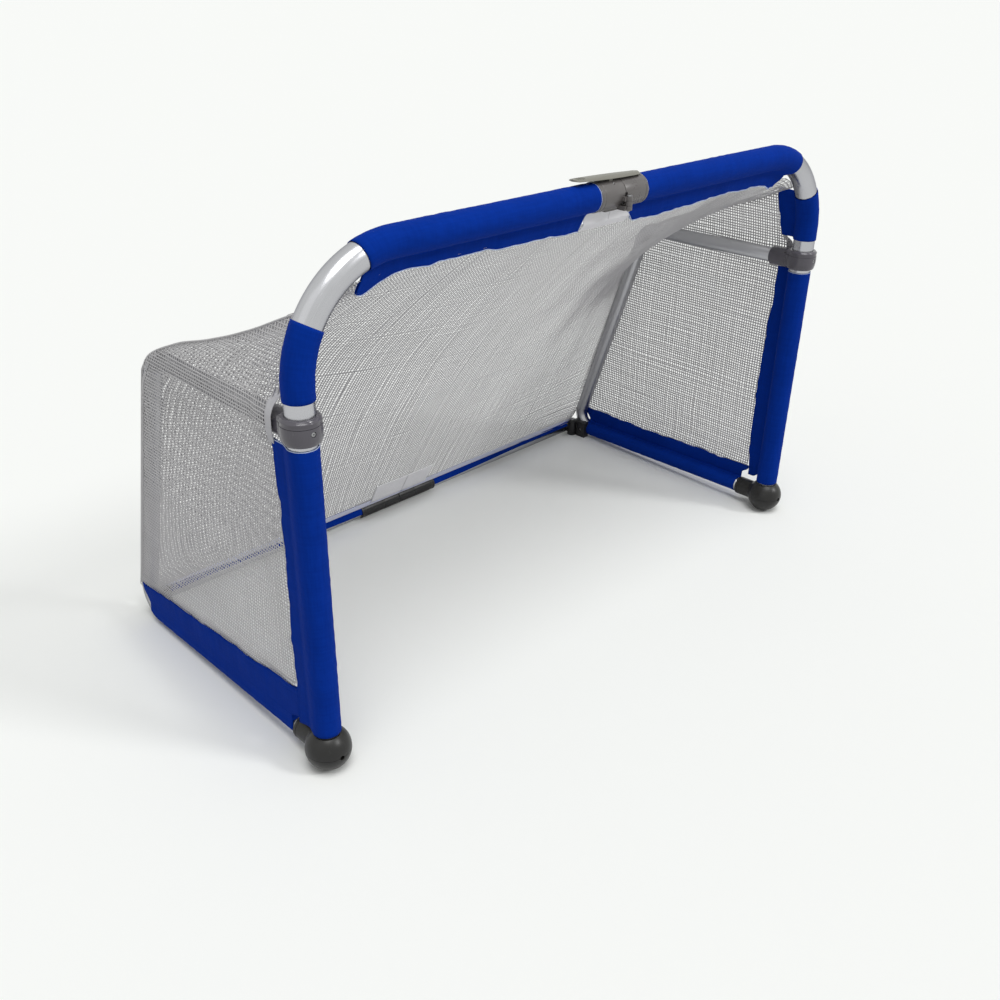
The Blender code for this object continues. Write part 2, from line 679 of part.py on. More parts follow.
def rear_end(side):
    """Fitting on a rear bar's outer end: an eye on the corner pin and a spigot in the bar."""
    body = rear(side)
    corner = (side * PIVOT_X, PIVOT_Y, EYE_Z)
    half = EYE_HEIGHT / 2
    made = put(rod_mesh(EYE_R, -half, half), name_of(side) + "_rear_end", body, corner, "rear_plastic")
    bar = (side * PIVOT_X, BAR_Y, BAR_Z)
    inward = aim((-side, 0, 0))
    add(made, rod_mesh(REAR_R, -EYE_ARM, BAR_SHORT - GAP), body, bar, inward)
    arm = box_mesh((side * EYE_ARM, 0, -half), (-side * (BAR_SHORT - GAP), BAR_BEHIND, half))
    add(made, arm, body, corner)
    spigot_r = (REAR_R - WALL) * cos(pi / TUBE_SIDES) - GAP
    add(made, rod_mesh(spigot_r, 0, BAR_SHORT + SPIGOT), body, bar, inward)
    for low, high in ((-FAR, -half), (half, FAR)):
        cut(made, rod_mesh(eye_room(side), low, high), body, corner)
    hole = CORNER_PIN_R + eye_play(side)
    cut(made, rod_mesh(clear(hole, PIN_SIDES), -FAR, FAR, PIN_SIDES), body, corner)
    settle(made)


def rear_leaves(side):
    """Heights of the knuckles of one half of the rear hinge."""
    low = BAR_Z - 1.5 * REAR_LEAF - GAP
    starts = [low, low + 2 * (REAR_LEAF + GAP)] if side < 0 else [low + REAR_LEAF + GAP]
    return [(start, start + REAR_LEAF) for start in starts]


def rear_hinge(side):
    body = rear(side)
    middle = (0, BAR_Y, BAR_Z)
    pin = (0, REAR_PIVOT_Y, 0)
    outward = aim((side, 0, 0))
    cover = [(0, REAR_HINGE_HALF), (REAR_HINGE_R - CHAMFER, REAR_HINGE_HALF),
             (REAR_HINGE_R, REAR_HINGE_HALF - CHAMFER), (REAR_HINGE_R, GAP), (0, GAP)]
    made = put(turned_mesh(cover), "rear_hinge_" + name_of(side), body, middle, "rear_plastic", outward)
    for low, high in rear_leaves(side):
        add(made, rod_mesh(REAR_KNUCKLE_R, low, high, 16), body, pin)
        web = box_mesh((0, BAR_Y + REAR_HINGE_R / 2, low), (side * KNUCKLE_WEB, REAR_PIVOT_Y, high))
        add(made, web, body)
    for low, high in rear_leaves(-side):
        cut(made, rod_mesh(clear(REAR_KNUCKLE_R, 16), low - GAP, high + GAP, 16), body, pin)
    cut(made, rod_mesh(clear(REAR_PIN_R, PIN_SIDES), -FAR, 2 * FAR, PIN_SIDES), body, pin)
    cut(made, rod_mesh(clear(REAR_R), REAR_HINGE_SOLID, REAR_HINGE_HALF + FAR), body, middle, outward)
    settle(made)


def rear_hinge_pin():
    top = rear_leaves(-1)[1][1]
    length = top - rear_leaves(-1)[0][0] + PIN_TAIL
    mesh = pin_mesh(REAR_PIN_R, length, REAR_PIN_HEAD_R, PIN_HEAD)
    settle(put(mesh, "rear_hinge_pin", "rear_left", (0, REAR_PIVOT_Y, top + GAP), "pin_steel"))


# Fabric sleeves

def sleeve_section(inner, flap, out=0.0):
    """Outline of a sleeve with a two-layer flap along +U, which is out along V from the tube's axis.

    The slit between the layers runs into the bore, so the outline stays one closed line."""
    outer = inner + CLOTH
    layer = CLOTH + SLIT / 2
    n = SLEEVE_SIDES
    start = asin((out + layer) / outer)
    end = 2 * pi + asin((out - layer) / outer)
    points = [(flap, out + layer)]
    points += [(outer * cos(start + (end - start) * k / n), outer * sin(start + (end - start) * k / n))
               for k in range(n + 1)]
    points += [(flap, out - layer), (flap, out - SLIT / 2)]
    start = 2 * pi + asin((out - SLIT / 2) / inner)
    end = asin((out + SLIT / 2) / inner)
    points += [(inner * cos(start + (end - start) * k / n), inner * sin(start + (end - start) * k / n))
               for k in range(n + 1)]
    points.append((flap, out + SLIT / 2))
    return points


def strip_section(inner, flap):
    """Outline of the narrow strip over the rear bar: an arc with a short flap along +U."""
    outer = inner + CLOTH
    half = CLOTH / 2 + SLIT
    n = 10
    foot = asin(half / outer)
    arc = [STRIP_HALF_ANGLE * (1 - 2 * k / n) for k in range(n + 1)]
    points = [(inner * cos(a), inner * sin(a)) for a in arc]
    points += [(outer * cos(a), outer * sin(a)) for a in arc[::-1] if a < -foot]
    points += [(outer * cos(foot), -half), (flap, -half), (flap, half), (outer * cos(foot), half)]
    points += [(outer * cos(a), outer * sin(a)) for a in arc[::-1] if a > foot]
    return points


def swept(name, body, line, section, along, across):
    """A section swept along a line. Along is the flap's direction in the section's own plane."""
    base = pivots[body][1]
    placed = [(along[0] * u + across[0] * v, along[1] * u + across[1] * v) for u, v in section]
    area = sum(a[0] * b[1] - a[1] * b[0] for a, b in zip(placed, placed[1:] + placed[:1]))
    if area > 0:
        placed.reverse()
    shape = bpy.data.objects.new(name + "_section", outline_curve(placed))
    cutters.objects.link(shape)
    shape.hide_render = True
    shape.display_type = "WIRE"
    data = curve([Vector(p) - base for p in line])
    data.bevel_mode = "OBJECT"
    data.bevel_object = shape
    data.use_fill_caps = True
    data.twist_mode = "MINIMUM"
    return put(data, name, body, base, "blue_cloth")


def to_mesh_object(piece, body):
    """A curve piece as a mesh piece of the same name, place and finish."""
    name = piece.name
    base = pivots[body][1]
    finish = piece.data.materials[0].name
    piece.name = name + "_curve"
    mesh = take_mesh(piece)
    mesh.materials.clear()
    return put(mesh, name, body, base, finish)


def bend_point(side, step, radius=CORNER_BEND, y=0.0):
    """A point of the upper front corner; the steps run from the upright to the crossbar."""
    angle = pi / 2 * step / BEND_STEPS
    centre_x = HALF_SPAN - CORNER_BEND
    centre_z = CROSSBAR_Z - CORNER_BEND
    return Vector((side * (centre_x + radius * cos(angle)), y, centre_z + radius * sin(angle)))


def crossbar_sleeve(side):
    body = front(side)
    line = [bend_point(side, step) for step in range(CROSSBAR_SLEEVE_STEP, BEND_STEPS + 1)]
    inner_end = HINGE_HALF + GAP if side < 0 else FLAP_RUN_ON
    line.append(Vector((side * inner_end, 0, CROSSBAR_Z)))
    if side > 0:
        line.reverse()
    section = sleeve_section(clear(FRONT_R, SLEEVE_SIDES), CROSSBAR_FLAP)
    along = (-sin(FLAP_LEAN), -cos(FLAP_LEAN))
    across = (cos(FLAP_LEAN), -sin(FLAP_LEAN))
    made = to_mesh_object(swept(name_of(side) + "_crossbar_sleeve", body, line, section, along, across), body)
    if side < 0:
        place = (-HINGE_HALF, 0, CROSSBAR_Z - FRONT_R - CUTOUT_UNDER - FLAP_CUTOUT)
        cut(made, rod_mesh(FLAP_CUTOUT, -2 * FAR, 2 * FAR), body, place, ALONG_Y)
    else:
        cut(made, rod_mesh(HINGE_R + GAP, -FAR, HINGE_HALF + GAP), body, (0, 0, CROSSBAR_Z), ALONG_X)
    settle(made)


def corner_sleeve(side):
    line = [Vector((side * HALF_SPAN, 0, BEND_FOOT_Z - CORNER_SLEEVE_RUN))]
    line += [bend_point(side, step) for step in range(CORNER_SLEEVE_STEP + 1)]
    section = sleeve_section(clear(FRONT_R, SLEEVE_SIDES), CORNER_FLAP)
    swept(name_of(side) + "_corner_sleeve", front(side), line, section, (0, -1), (1, 0))


def upright_sleeve(side):
    x = side * HALF_SPAN
    arm_fall = TOP_RUN_FALL * COLLAR_ARM / TOP_DEPTH
    line = [(x, 0, FOOT_Z + FOOT_TOP), (x, 0, TOP_RUN_Z - COLLAR_ARM_R - arm_fall - 2 * GAP)]
    section = sleeve_section(clear(FRONT_R, SLEEVE_SIDES), UPRIGHT_FLAP, UPRIGHT_FLAP_OUT)
    swept(name_of(side) + "_upright_sleeve", side_body(side), line, section, (0, -1), (side, 0))


def ground_run(side, y):
    return Vector((side * HALF_SPAN, y, FOOT_Z + (REAR_CORNER_Z - FOOT_Z) * y / GROUND_DEPTH))


def ground_sleeve_end():
    return PIVOT_Y - EYE_R - WEB_LENGTH - 4 * GAP


def ground_sleeve(side):
    line = [ground_run(side, FOOT_ARM + SLEEVE_CLEAR), ground_run(side, ground_sleeve_end() - REAR_R)]
    section = sleeve_section(clear(SIDE_R, SLEEVE_SIDES), GROUND_FLAP, GROUND_FLAP_OUT)
    swept(name_of(side) + "_ground_sleeve", side_body(side), line, section, (0, 1), (side, 0))


def rear_strip(side):
    ends = sorted((side * (REAR_HINGE_HALF + GAP), side * (PIVOT_X - BAR_SHORT)))
    line = [(x, BAR_Y, BAR_Z) for x in ends]
    section = strip_section(clear(REAR_R, 20), STRIP_FLAP)
    along = (sin(NET_LEAN), cos(NET_LEAN))
    across = (cos(NET_LEAN), -sin(NET_LEAN))
    swept(name_of(side) + "_rear_strip", rear(side), line, section, along, across)


# Nets

def strand_lines(count, length):
    """Shares of a length at which the strands' edges lie, for a number of gaps."""
    strand = STRAND / length
    pitch = (1 - strand) / count
    lines = []
    for k in range(count + 1):
        lines += [k * pitch, k * pitch + strand]
    return lines


def line_length(points):
    return sum((b - a).length for a, b in zip(points, points[1:]))


def along_points(points, share):
    """The point at a share of a broken line's length."""
    left = share * line_length(points)
    for a, b in zip(points, points[1:]):
        length = (b - a).length
        if left <= length:
            return a.lerp(b, left / length)
        left -= length
    return points[-1].copy()


def lattice(name, body, gaps, lengths, surface, closed=()):
    """A net of flat strands on a surface that is given by two shares."""
    across = strand_lines(gaps[0], lengths[0])
    down = strand_lines(gaps[1], lengths[1])
    base = pivots[body][1]
    bm = bmesh.new()
    bmesh.ops.create_grid(bm, x_segments=len(across) - 1, y_segments=len(down) - 1, size=1)
    holes = []
    for face in bm.faces:
        middle = face.calc_center_median()
        column = int((middle.x + 1) / 2 * (len(across) - 1))
        row = int((middle.y + 1) / 2 * (len(down) - 1))
        if column % 2 and row % 2 and (column // 2, row // 2) not in closed:
            holes.append(face)
    for vert in bm.verts:
        column = round((vert.co.x + 1) / 2 * (len(across) - 1))
        row = round((vert.co.y + 1) / 2 * (len(down) - 1))
        vert.co = surface(across[column], down[row]) - base
    bmesh.ops.delete(bm, geom=holes, context="FACES")
    mesh = bpy.data.meshes.new(name)
    bm.to_mesh(mesh)
    bm.free()
    made = put(mesh, name, body, base, "net_white")
    thick = made.modifiers.new("strand", "SOLIDIFY")
    thick.thickness = NET
    thick.offset = 0


def seam_x(z):
    """Distance of the side net from the middle: upright beside the tube, leaning in above it."""
    low = TOP_RUN_Z + SIDE_NET_LEAN_FROM
    high = bend_point(1, CORNER_SLEEVE_STEP)
    share = min(max((z - low) / (high.z - low), 0), 1)
    low_x = HALF_SPAN + SIDE_NET_OUT
    return low_x + (high.x + NET_OFF - low_x) * share


def seam_line():
    """Top edge of a side net in Y and Z, from the corner sleeve's flap to the upper rear corner."""
    start = Vector((CORNER_FLAP + NET_OFF, bend_point(1, CORNER_SLEEVE_STEP).z - NET_OFF))
    end_z = TOP_RUN_Z - TOP_RUN_FALL * SEAM_END_Y / TOP_DEPTH + SIDE_R + 2 * NET_OFF
    corner = Vector((TOP_DEPTH + NET_OFF, TOP_RUN_Z - TOP_RUN_FALL + SIDE_R / 2))
    return [start, Vector((SEAM_END_Y, end_z)), corner]


def side_net(side):
    rear_top = seam_line()[-1]
    slope = (GROUND_DEPTH - TOP_DEPTH) / (TOP_RUN_Z - TOP_RUN_FALL - REAR_CORNER_Z)
    front_low = Vector((UPRIGHT_FLAP + NET_EDGE, FOOT_Z + GROUND_FLAP + NET_EDGE))
    rear_low = Vector((0, REAR_CORNER_Z + GROUND_FLAP + 2 * NET_OFF))
    rear_low.x = TOP_DEPTH + (TOP_RUN_Z - TOP_RUN_FALL - rear_low.y) * slope + SIDE_R / 2
    front_top = seam_line()[0]
    height = front_top.y - front_low.y

    def front_edge(share):
        z = front_low.y + height * share
        away = (z - TOP_RUN_Z) / NOTCH_REACH
        notch = min(1, 2 * cos(away * pi / 2) ** 2) if abs(away) < 1 else 0
        over = max(0, (z - TOP_RUN_Z) / (front_top.y - TOP_RUN_Z))
        base_y = front_low.x + (front_top.x - front_low.x) * over
        return Vector((base_y + (COLLAR_ARM + 4 * NET_OFF - base_y) * notch, z))

    def surface(u, v):
        low = front_low.lerp(rear_low, u)
        high = along_points(seam_line(), u)
        near = front_edge(v)
        far = rear_low.lerp(rear_top, v)
        flat = low.lerp(high, v) + near.lerp(far, u)
        flat -= front_low.lerp(rear_low, u).lerp(front_top.lerp(rear_top, u), v)
        return Vector((side * seam_x(flat.y), flat.x, flat.y))

    lattice(name_of(side) + "_side_net", side_body(side), SIDE_GAPS,
            (rear_low.x - front_low.x, height), surface)


def back_net(side):
    """Half of the back and top net: a saddle that is straight at the middle and bulges to the side frame."""
    body = front(side)
    drop = CROSSBAR_FLAP * cos(FLAP_LEAN) + NET_EDGE + NET / 2
    rear_of_bar = CROSSBAR_FLAP * sin(FLAP_LEAN) + NET_EDGE
    top = [Vector((side * 2 * GAP, rear_of_bar, CROSSBAR_Z - drop))]
    arc = range(BEND_STEPS, CROSSBAR_SLEEVE_STEP - 1, -1)
    top += [bend_point(side, step, CORNER_BEND - drop, rear_of_bar) for step in arc]
    reach = STRIP_FLAP + NET_EDGE + NET / 2
    low_y = BAR_Y - reach * sin(NET_LEAN)
    low_z = BAR_Z + reach * cos(NET_LEAN)
    bottom = [Vector((side * 2 * GAP, low_y, low_z)),
              Vector((side * (PIVOT_X - BAR_SHORT - NET_OFF), low_y, low_z))]
    x = side * (HALF_SPAN - SIDE_R + NET_OFF)
    offset = SIDE_R + NET_OFF
    corner = Vector((TOP_DEPTH, TOP_RUN_Z - TOP_RUN_FALL))
    down = (Vector((GROUND_DEPTH, REAR_CORNER_Z)) - corner).normalized()
    across = Vector((-down.y, down.x))
    up = Vector((0, 1))
    apex = corner + (up + across) * offset / (1 + up.dot(across))
    post_low = corner + down * ((corner.y - POST_NET_LOW) / -down.y) + across * offset
    seam = seam_line()
    upper = [top[-1], Vector((side * (seam_x(seam[0].y) - NET_OFF), seam[0].x, seam[0].y)),
             Vector((side * (seam_x(seam[1].y) - SIDE_R - NET_OFF), seam[1].x, seam[1].y)),
             Vector((x, apex.x, apex.y))]
    lower = [upper[-1], Vector((x, post_low.x, post_low.y)), bottom[-1]]
    width = (top[-1] - top[0]).length
    length = (bottom[0] - top[0]).length
    lines = strand_lines(BACK_GAPS[1], length)
    upper_share = line_length(upper) / (line_length(upper) + line_length(lower))
    corner_line = min(lines, key=lambda share: abs(share - upper_share))

    def edge(v):
        if v < corner_line:
            return along_points(upper, v / corner_line)
        return along_points(lower, (v - corner_line) / (1 - corner_line))

    def surface(u, v):
        straight = along_points(top, u).lerp(along_points(bottom, u), v)
        bulge = edge(v) - top[-1].lerp(bottom[-1], v)
        return straight + bulge * cosh(SADDLE * u) / cosh(SADDLE)

    rows = BACK_GAPS[1]
    closed = [(column, row) for column in range(PATCH_GAPS) for row in (0, rows - 1)]
    lattice(name_of(side) + "_back_net", body, BACK_GAPS, (width, length), surface, closed)


def main():
    for old in list(bpy.data.objects):
        bpy.data.objects.remove(old)
    bpy.context.scene.collection.children.link(parts)
    bpy.context.scene.collection.children.link(cutters)
    make_pivots()
    for side in (-1, 1):
        front_tube(side)
        side_tube(side)
        rear_bar(side)
        foot(side)
        collar(side)
        screws(side)
        crossbar_hinge(side)
        corner_bracket(side)
        corner_pin(side)
        rear_end(side)
        rear_hinge(side)
        crossbar_sleeve(side)
        corner_sleeve(side)
        upright_sleeve(side)
        ground_sleeve(side)
        rear_strip(side)
        side_net(side)
        back_net(side)
    hinge_pin()
    lock_lever()
    lever_pin()
    lever_spring()
    rear_hinge_pin()


main()
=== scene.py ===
"""Looks of the folding soccer goal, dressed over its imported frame.

Lengths are in millimetres and in the goal's own axes: X along the crossbar, Y to the rear from the
uprights and Z up. real() turns them into the frame's metres. A material's lengths are in metres."""
from math import acos, atan2, cos, pi, radians, sin, tan

import bmesh
import bpy
import numpy as np
from mathutils import Matrix, Vector


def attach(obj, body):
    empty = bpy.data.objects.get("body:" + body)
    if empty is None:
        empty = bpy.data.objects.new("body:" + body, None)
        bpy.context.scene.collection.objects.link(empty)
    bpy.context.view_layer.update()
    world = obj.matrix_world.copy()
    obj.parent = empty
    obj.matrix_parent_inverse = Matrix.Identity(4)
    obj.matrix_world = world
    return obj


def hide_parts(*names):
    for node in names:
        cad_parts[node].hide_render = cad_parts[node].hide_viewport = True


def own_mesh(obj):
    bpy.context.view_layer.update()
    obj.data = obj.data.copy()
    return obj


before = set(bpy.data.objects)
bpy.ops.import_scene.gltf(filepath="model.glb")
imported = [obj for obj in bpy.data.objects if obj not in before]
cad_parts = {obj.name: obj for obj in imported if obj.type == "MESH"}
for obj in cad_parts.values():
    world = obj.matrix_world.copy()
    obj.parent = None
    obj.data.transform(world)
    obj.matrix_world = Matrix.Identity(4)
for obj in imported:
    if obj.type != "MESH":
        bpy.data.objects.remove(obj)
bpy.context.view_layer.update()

MIDDLE_Y = 271.0            # the frame's origin is this far behind the uprights
GAP = 0.3                   # room round a part that sits or turns in another
SIDES = (-1, 1)
WORD = {-1: "left", 1: "right"}

# Tubular frame, as in the model
SPAN = 580.0                # from the middle out to an upright's axis
CROSSBAR_Z = 758.0
CORNER_BEND = 156.0
FRONT_R, SIDE_R, REAR_R, WALL = 20.0, 14.0, 12.5, 1.5
TOP_DEPTH, TOP_Z, TOP_FALL = 381.0, 548.0, 9.0
GROUND_DEPTH, REAR_CORNER_Z, SIDE_BEND = 549.0, 18.0, 38.0
SIDE_SEAT = 25.8            # bottom of the side tube's seats in the foot and the collar
FOOT_R, FOOT_Z, FOOT_FLOOR, FOOT_ARM, FOOT_ARM_R = 35.0, 33.5, 8.0, 66.0, 19.0
COLLAR_Z, COLLAR_R, COLLAR_HALF, COLLAR_ARM, COLLAR_ARM_R = 552.0, 27.5, 18.0, 64.0, 18.0
HINGE_HALF, HINGE_R, HINGE_SOLID = 53.0, 22.5, 35.0
FRONT_PIVOT_Y = -28.0
PIVOT_X, PIVOT_Y, BAR_Y, BAR_Z, REAR_PIVOT_Y = 554.0, 542.0, 556.0, 19.6, 572.0
LEVER_START, LEVER_END, LEVER_HALF = -97.0, 50.0, 13.0
LEVER_PIN = (-20, 0, CROSSBAR_Z + 18)
SPRING_X = -29.0

# Cloth and net
CLOTH = 0.8
FLAP_LEAN = radians(15)     # the crossbar's flaps hang back by this much
NET_LEAN = radians(37.7)    # slope of the back net where it meets the rear bar


def real(points):
    return (np.asarray(points, float) - (0, MIDDLE_Y, 0)) / 1000


# Materials

class Value:
    """A number that changes over a surface. A sum or product on it adds the Math node for it."""

    def __init__(self, nodes, socket):
        self.nodes = nodes
        self.socket = socket

    def maths(self, operation, *others):
        node = self.nodes.node("ShaderNodeMath", {"operation": operation}, dict(enumerate((self, *others))))
        return Value(self.nodes, node.outputs[0])

    def __add__(self, other):
        return self.maths("ADD", other)

    def __sub__(self, other):
        return self.maths("SUBTRACT", other)

    def __mul__(self, other):
        return self.maths("MULTIPLY", other)

    def __pow__(self, other):
        return self.maths("POWER", other)

    def wave(self):
        return self.maths("SINE")

    def size(self):
        return self.maths("ABSOLUTE")

    def clamped(self):
        return Value(self.nodes, self.nodes.node("ShaderNodeClamp", {}, {"Value": self}).outputs[0])


class Nodes:
    """A tree of nodes, empty at first."""

    def __init__(self, tree):
        self.tree = tree
        tree.nodes.clear()

    def link(self, start, end):
        self.tree.links.new(start, end)

    def node(self, kind, settings=None, sockets=None):
        """Adds a node: its settings first, then a value or a link for each numbered or named socket."""
        node = self.tree.nodes.new(kind)
        for key, value in (settings or {}).items():
            setattr(node, key, value)
        for key, value in (sockets or {}).items():
            if isinstance(key, int):
                socket = node.inputs[key]
            else:
                socket = next(s for s in node.inputs if s.name == key and s.enabled)
            if isinstance(value, Value):
                value = value.socket
            if isinstance(value, bpy.types.NodeSocket):
                self.link(value, socket)
            else:
                socket.default_value = value
        return node

    def looked_at(self):
        """1 where a camera, a mirror or glass looks at the surface, and 0 for the light it gives."""
        ray = self.node("ShaderNodeLightPath").outputs
        seen = Value(self, ray["Is Camera Ray"])
        for kind in ("Is Glossy Ray", "Is Transmission Ray"):
            seen = seen.maths("MAXIMUM", ray[kind])
        return seen


class Finish(Nodes):
    """A material with one Principled shader, and the nodes that vary it."""

    def __init__(self, name, colour, roughness, metallic=0.0, **constants):
        self.material = bpy.data.materials.new(name)
        self.material.use_nodes = True
        super().__init__(self.material.node_tree)
        self.shader = self.node("ShaderNodeBsdfPrincipled", {}, {
            "Base Color": (*colour, 1), "Roughness": roughness, "Metallic": metallic, **constants})
        self.node("ShaderNodeOutputMaterial", {}, {"Surface": self.shader.outputs[0]})

    def place(self, kind="Object"):
        return self.node("ShaderNodeTexCoord").outputs[kind]

    def cloth_place(self):
        """Where a point lies on the flat cloth or along a strand, in metres: along, across."""
        split = self.node("ShaderNodeSeparateXYZ", {}, {0: self.place("UV")}).outputs
        return Value(self, split[0]), Value(self, split[1])

    def noise(self, scale, detail=2.0, roughness=0.5, place=None, stretch=None):
        place = place or self.place()
        if stretch:
            place = self.node("ShaderNodeMapping", {}, {"Vector": place, "Scale": stretch}).outputs[0]
        node = self.node("ShaderNodeTexNoise", {}, {
            "Vector": place, "Scale": scale, "Detail": detail, "Roughness": roughness})
        return Value(self, node.outputs[0])

    def mixed(self, amount, *colours):
        first, second = ((*c, 1) if isinstance(c, tuple) else c for c in colours)
        node = self.node("ShaderNodeMix", {"data_type": "RGBA"}, {"Factor": amount, "A": first, "B": second})
        return node.outputs[2]

    def paint(self, colour):
        self.link(colour, self.shader.inputs["Base Color"])

    def gloss(self, value):
        self.link(value.socket, self.shader.inputs["Roughness"])

    def relief(self, height, depth):
        """Height from 0 to 1 stands for depth."""
        bump = self.node("ShaderNodeBump", {}, {"Strength": 1.0, "Distance": depth, "Height": height})
        self.link(bump.outputs[0], self.shader.inputs["Normal"])


def tinted(colour, factor):
    return tuple(min(1.0, c * factor) for c in colour)


def metal(name, colour, roughness):
    """Drawn tube: fine streaks along its length, dull patches and a few handling marks."""
    finish = Finish(name, colour, roughness, 1.0, **{"Specular Tint": (0.5, 0.5, 0.53, 1)})
    lines = finish.noise(900.0, 3.0, 0.6, finish.place("UV"), (0.012, 1.0, 1.0))
    patches = finish.noise(9.0, 3.0, 0.6)
    marks = finish.noise(70.0)
    shade = (lines - 0.5) * 0.35 + (patches - 0.5) * 0.5 + 0.5
    finish.paint(finish.mixed(shade.clamped(), tinted(colour, 0.82), tinted(colour, 1.16)))
    finish.gloss((patches - 0.5) * 0.16 + (lines - 0.5) * 0.10 + (marks - 0.5) * 0.10 + roughness)
    finish.relief(lines * 0.8 + marks * 0.2, 0.00006)
    return finish.material


def steel(name, colour, roughness):
    finish = Finish(name, colour, roughness, 1.0)
    grain = finish.noise(900.0)
    stain = finish.noise(120.0)
    finish.paint(finish.mixed(stain, tinted(colour, 0.75), tinted(colour, 1.15)))
    finish.gloss((grain - 0.5) * 0.25 + (stain - 0.5) * 0.15 + roughness)
    finish.relief(grain, 0.00003)
    return finish.material


def moulded(name, colour, roughness, grain_depth, **constants):
    """Injection-moulded plastic: a fine grain, cloudy shade and scuffs that show paler."""
    finish = Finish(name, colour, roughness, **constants)
    grain = finish.noise(1500.0, 1.0)
    coarse = finish.noise(420.0)
    cloud = finish.noise(30.0, 3.0)
    scuff = (finish.noise(160.0, 3.0, 0.7, stretch=(1.0, 1.0, 0.25)) - 0.60) * 7.0
    scuffed = scuff.clamped() * 0.55
    base = finish.mixed(cloud, tinted(colour, 0.86), tinted(colour, 1.14))
    finish.paint(finish.mixed(scuffed, base, tuple(c * 0.75 + 0.045 for c in colour)))
    finish.gloss((cloud - 0.5) * 0.14 + (coarse - 0.5) * 0.08 + scuffed * 0.18 + roughness)
    finish.relief(grain * 0.5 + coarse * 0.5, grain_depth)
    return finish.material


def woven(name, colour, pitch, roughness, depth, spread, sheen=0.03, shine=0.2, **constants):
    """Plain weave: threads over and under each other, each with its own tone, and painted shade where a
    thread dips under another.
    """
    finish = Finish(name, colour, roughness, **{
        "Sheen Weight": sheen, "Sheen Roughness": 0.4, "Specular IOR Level": shine, **constants})
    along, across = finish.cloth_place()
    turn = pi / pitch
    warp, weft = (along * turn).wave(), (across * turn).wave()
    thread = (warp.size() ** 0.6) * (weft.size() ** 0.6)
    height = warp * weft * 0.5 * thread + 0.5
    slub, slub_across = (finish.noise(260.0, 2.0, 0.6, finish.place("UV"), stretch)
                         for stretch in ((1.0, 0.08, 1.0), (0.08, 1.0, 1.0)))
    cloud = finish.noise(14.0, 3.0, 0.55)
    # height darkens the weave's low points: painted shade between the threads, on top of the threads' own
    # tones
    shade = (slub + slub_across - 1.0) * 0.7 + (cloud - 0.5) * 0.7 + (height - 0.5) * 0.5 + 0.5
    finish.paint(finish.mixed(shade.clamped(), tinted(colour, 1 - spread), tinted(colour, 1 + spread)))
    finish.gloss((cloud - 0.5) * 0.12 + (height - 0.5) * 0.10 + roughness)
    finish.relief(height, depth)
    return finish.material


def tape(name, colour):
    return woven(name, colour, pitch=0.0008, roughness=0.78, depth=0.0001, spread=0.10)


def yarn(name, colour, roughness, pitch, depth, spread, sheen, shine):
    """Braided cord: slanting plies that cross along it, with painted shade in the grooves between them."""
    finish = Finish(name, colour, roughness, **{
        "Sheen Weight": sheen, "Sheen Roughness": 0.5, "Specular IOR Level": shine})
    along, across = finish.cloth_place()
    turn = 2 * pi / pitch
    slant = turn * 0.9
    plies = (along * turn + across * slant).wave() * (along * turn - across * slant).wave() * 0.5 + 0.5
    cloud = finish.noise(24.0, 3.0, 0.6)
    # plies darkens the grooves between the plies: painted shade; cloud is the yarn's own uneven tone
    shade = (plies - 0.5) * 0.5 + (cloud - 0.5) * 0.8 + 0.5
    finish.paint(finish.mixed(shade.clamped(), tinted(colour, 1 - spread), tinted(colour, 1 + spread)))
    finish.gloss((plies - 0.5) * 0.1 + roughness)
    finish.relief(plies, depth)
    return finish.material


ALUMINIUM = metal("satin_aluminium", (0.50, 0.50, 0.525), roughness=0.25)
SIDE_ALUMINIUM = metal("side_aluminium", (0.43, 0.43, 0.45), roughness=0.33)
STEEL = steel("bright_steel", (0.34, 0.34, 0.35), roughness=0.30)
FOOT_PLASTIC = moulded("foot_black", (0.016, 0.0155, 0.015), roughness=0.36, grain_depth=0.00004,
                       **{"Specular IOR Level": 0.35})
COLLAR_PLASTIC = moulded("collar_grey", (0.092, 0.086, 0.103), roughness=0.20, grain_depth=0.00003,
                         **{"Coat Weight": 0.2, "Specular IOR Level": 0.4})
HINGE_GREY = moulded("hinge_grey", (0.125, 0.116, 0.113), roughness=0.30, grain_depth=0.000005)
LEVER_GREY = moulded("lever_grey", (0.19, 0.185, 0.155), roughness=0.42, grain_depth=0.00003)
REAR_PLASTIC = moulded("rear_black", (0.020, 0.020, 0.021), roughness=0.38, grain_depth=0.00004,
                       **{"Specular IOR Level": 0.35})
BLUE_CLOTH = woven("blue_weave", (0.0030, 0.031, 0.290), pitch=0.00075, roughness=0.72, depth=0.00012,
                   spread=0.22, sheen=0.0, shine=0.05, **{"Specular Tint": (0.06, 0.28, 1.0, 1)})
WHITE_CLOTH = woven("white_weave", (0.93, 0.93, 0.95), pitch=0.0006, roughness=0.75, depth=0.00008,
                    spread=0.05)
FLAP_TAPE = tape("flap_tape", (0.60, 0.70, 1.0))
HEM_TAPE = tape("hem_tape", (0.74, 0.77, 0.93))
NET_TAPE = tape("net_tape", (0.56, 0.56, 0.58))
NET_YARN = yarn("net_yarn", (0.61, 0.605, 0.61), roughness=0.80, pitch=0.0016, depth=0.00015, spread=0.10,
                sheen=0.05, shine=0.2)
THREAD = yarn("sewing_thread", (0.004, 0.035, 0.26), roughness=0.70, pitch=0.0005, depth=0.00005, spread=0.12,
              sheen=0.0, shine=0.04)


# Runs of points

def unit(v):
    v = np.asarray(v, float)
    return v / np.maximum(np.linalg.norm(v, axis=-1, keepdims=True), 1e-12)


def step_lengths(points):
    return np.linalg.norm(np.diff(points, axis=0), axis=1)


def run_length(points):
    return float(step_lengths(points).sum())


def distances(points):
    """How far along a run each of its points lies."""
    return np.concatenate([[0], np.cumsum(step_lengths(points))])


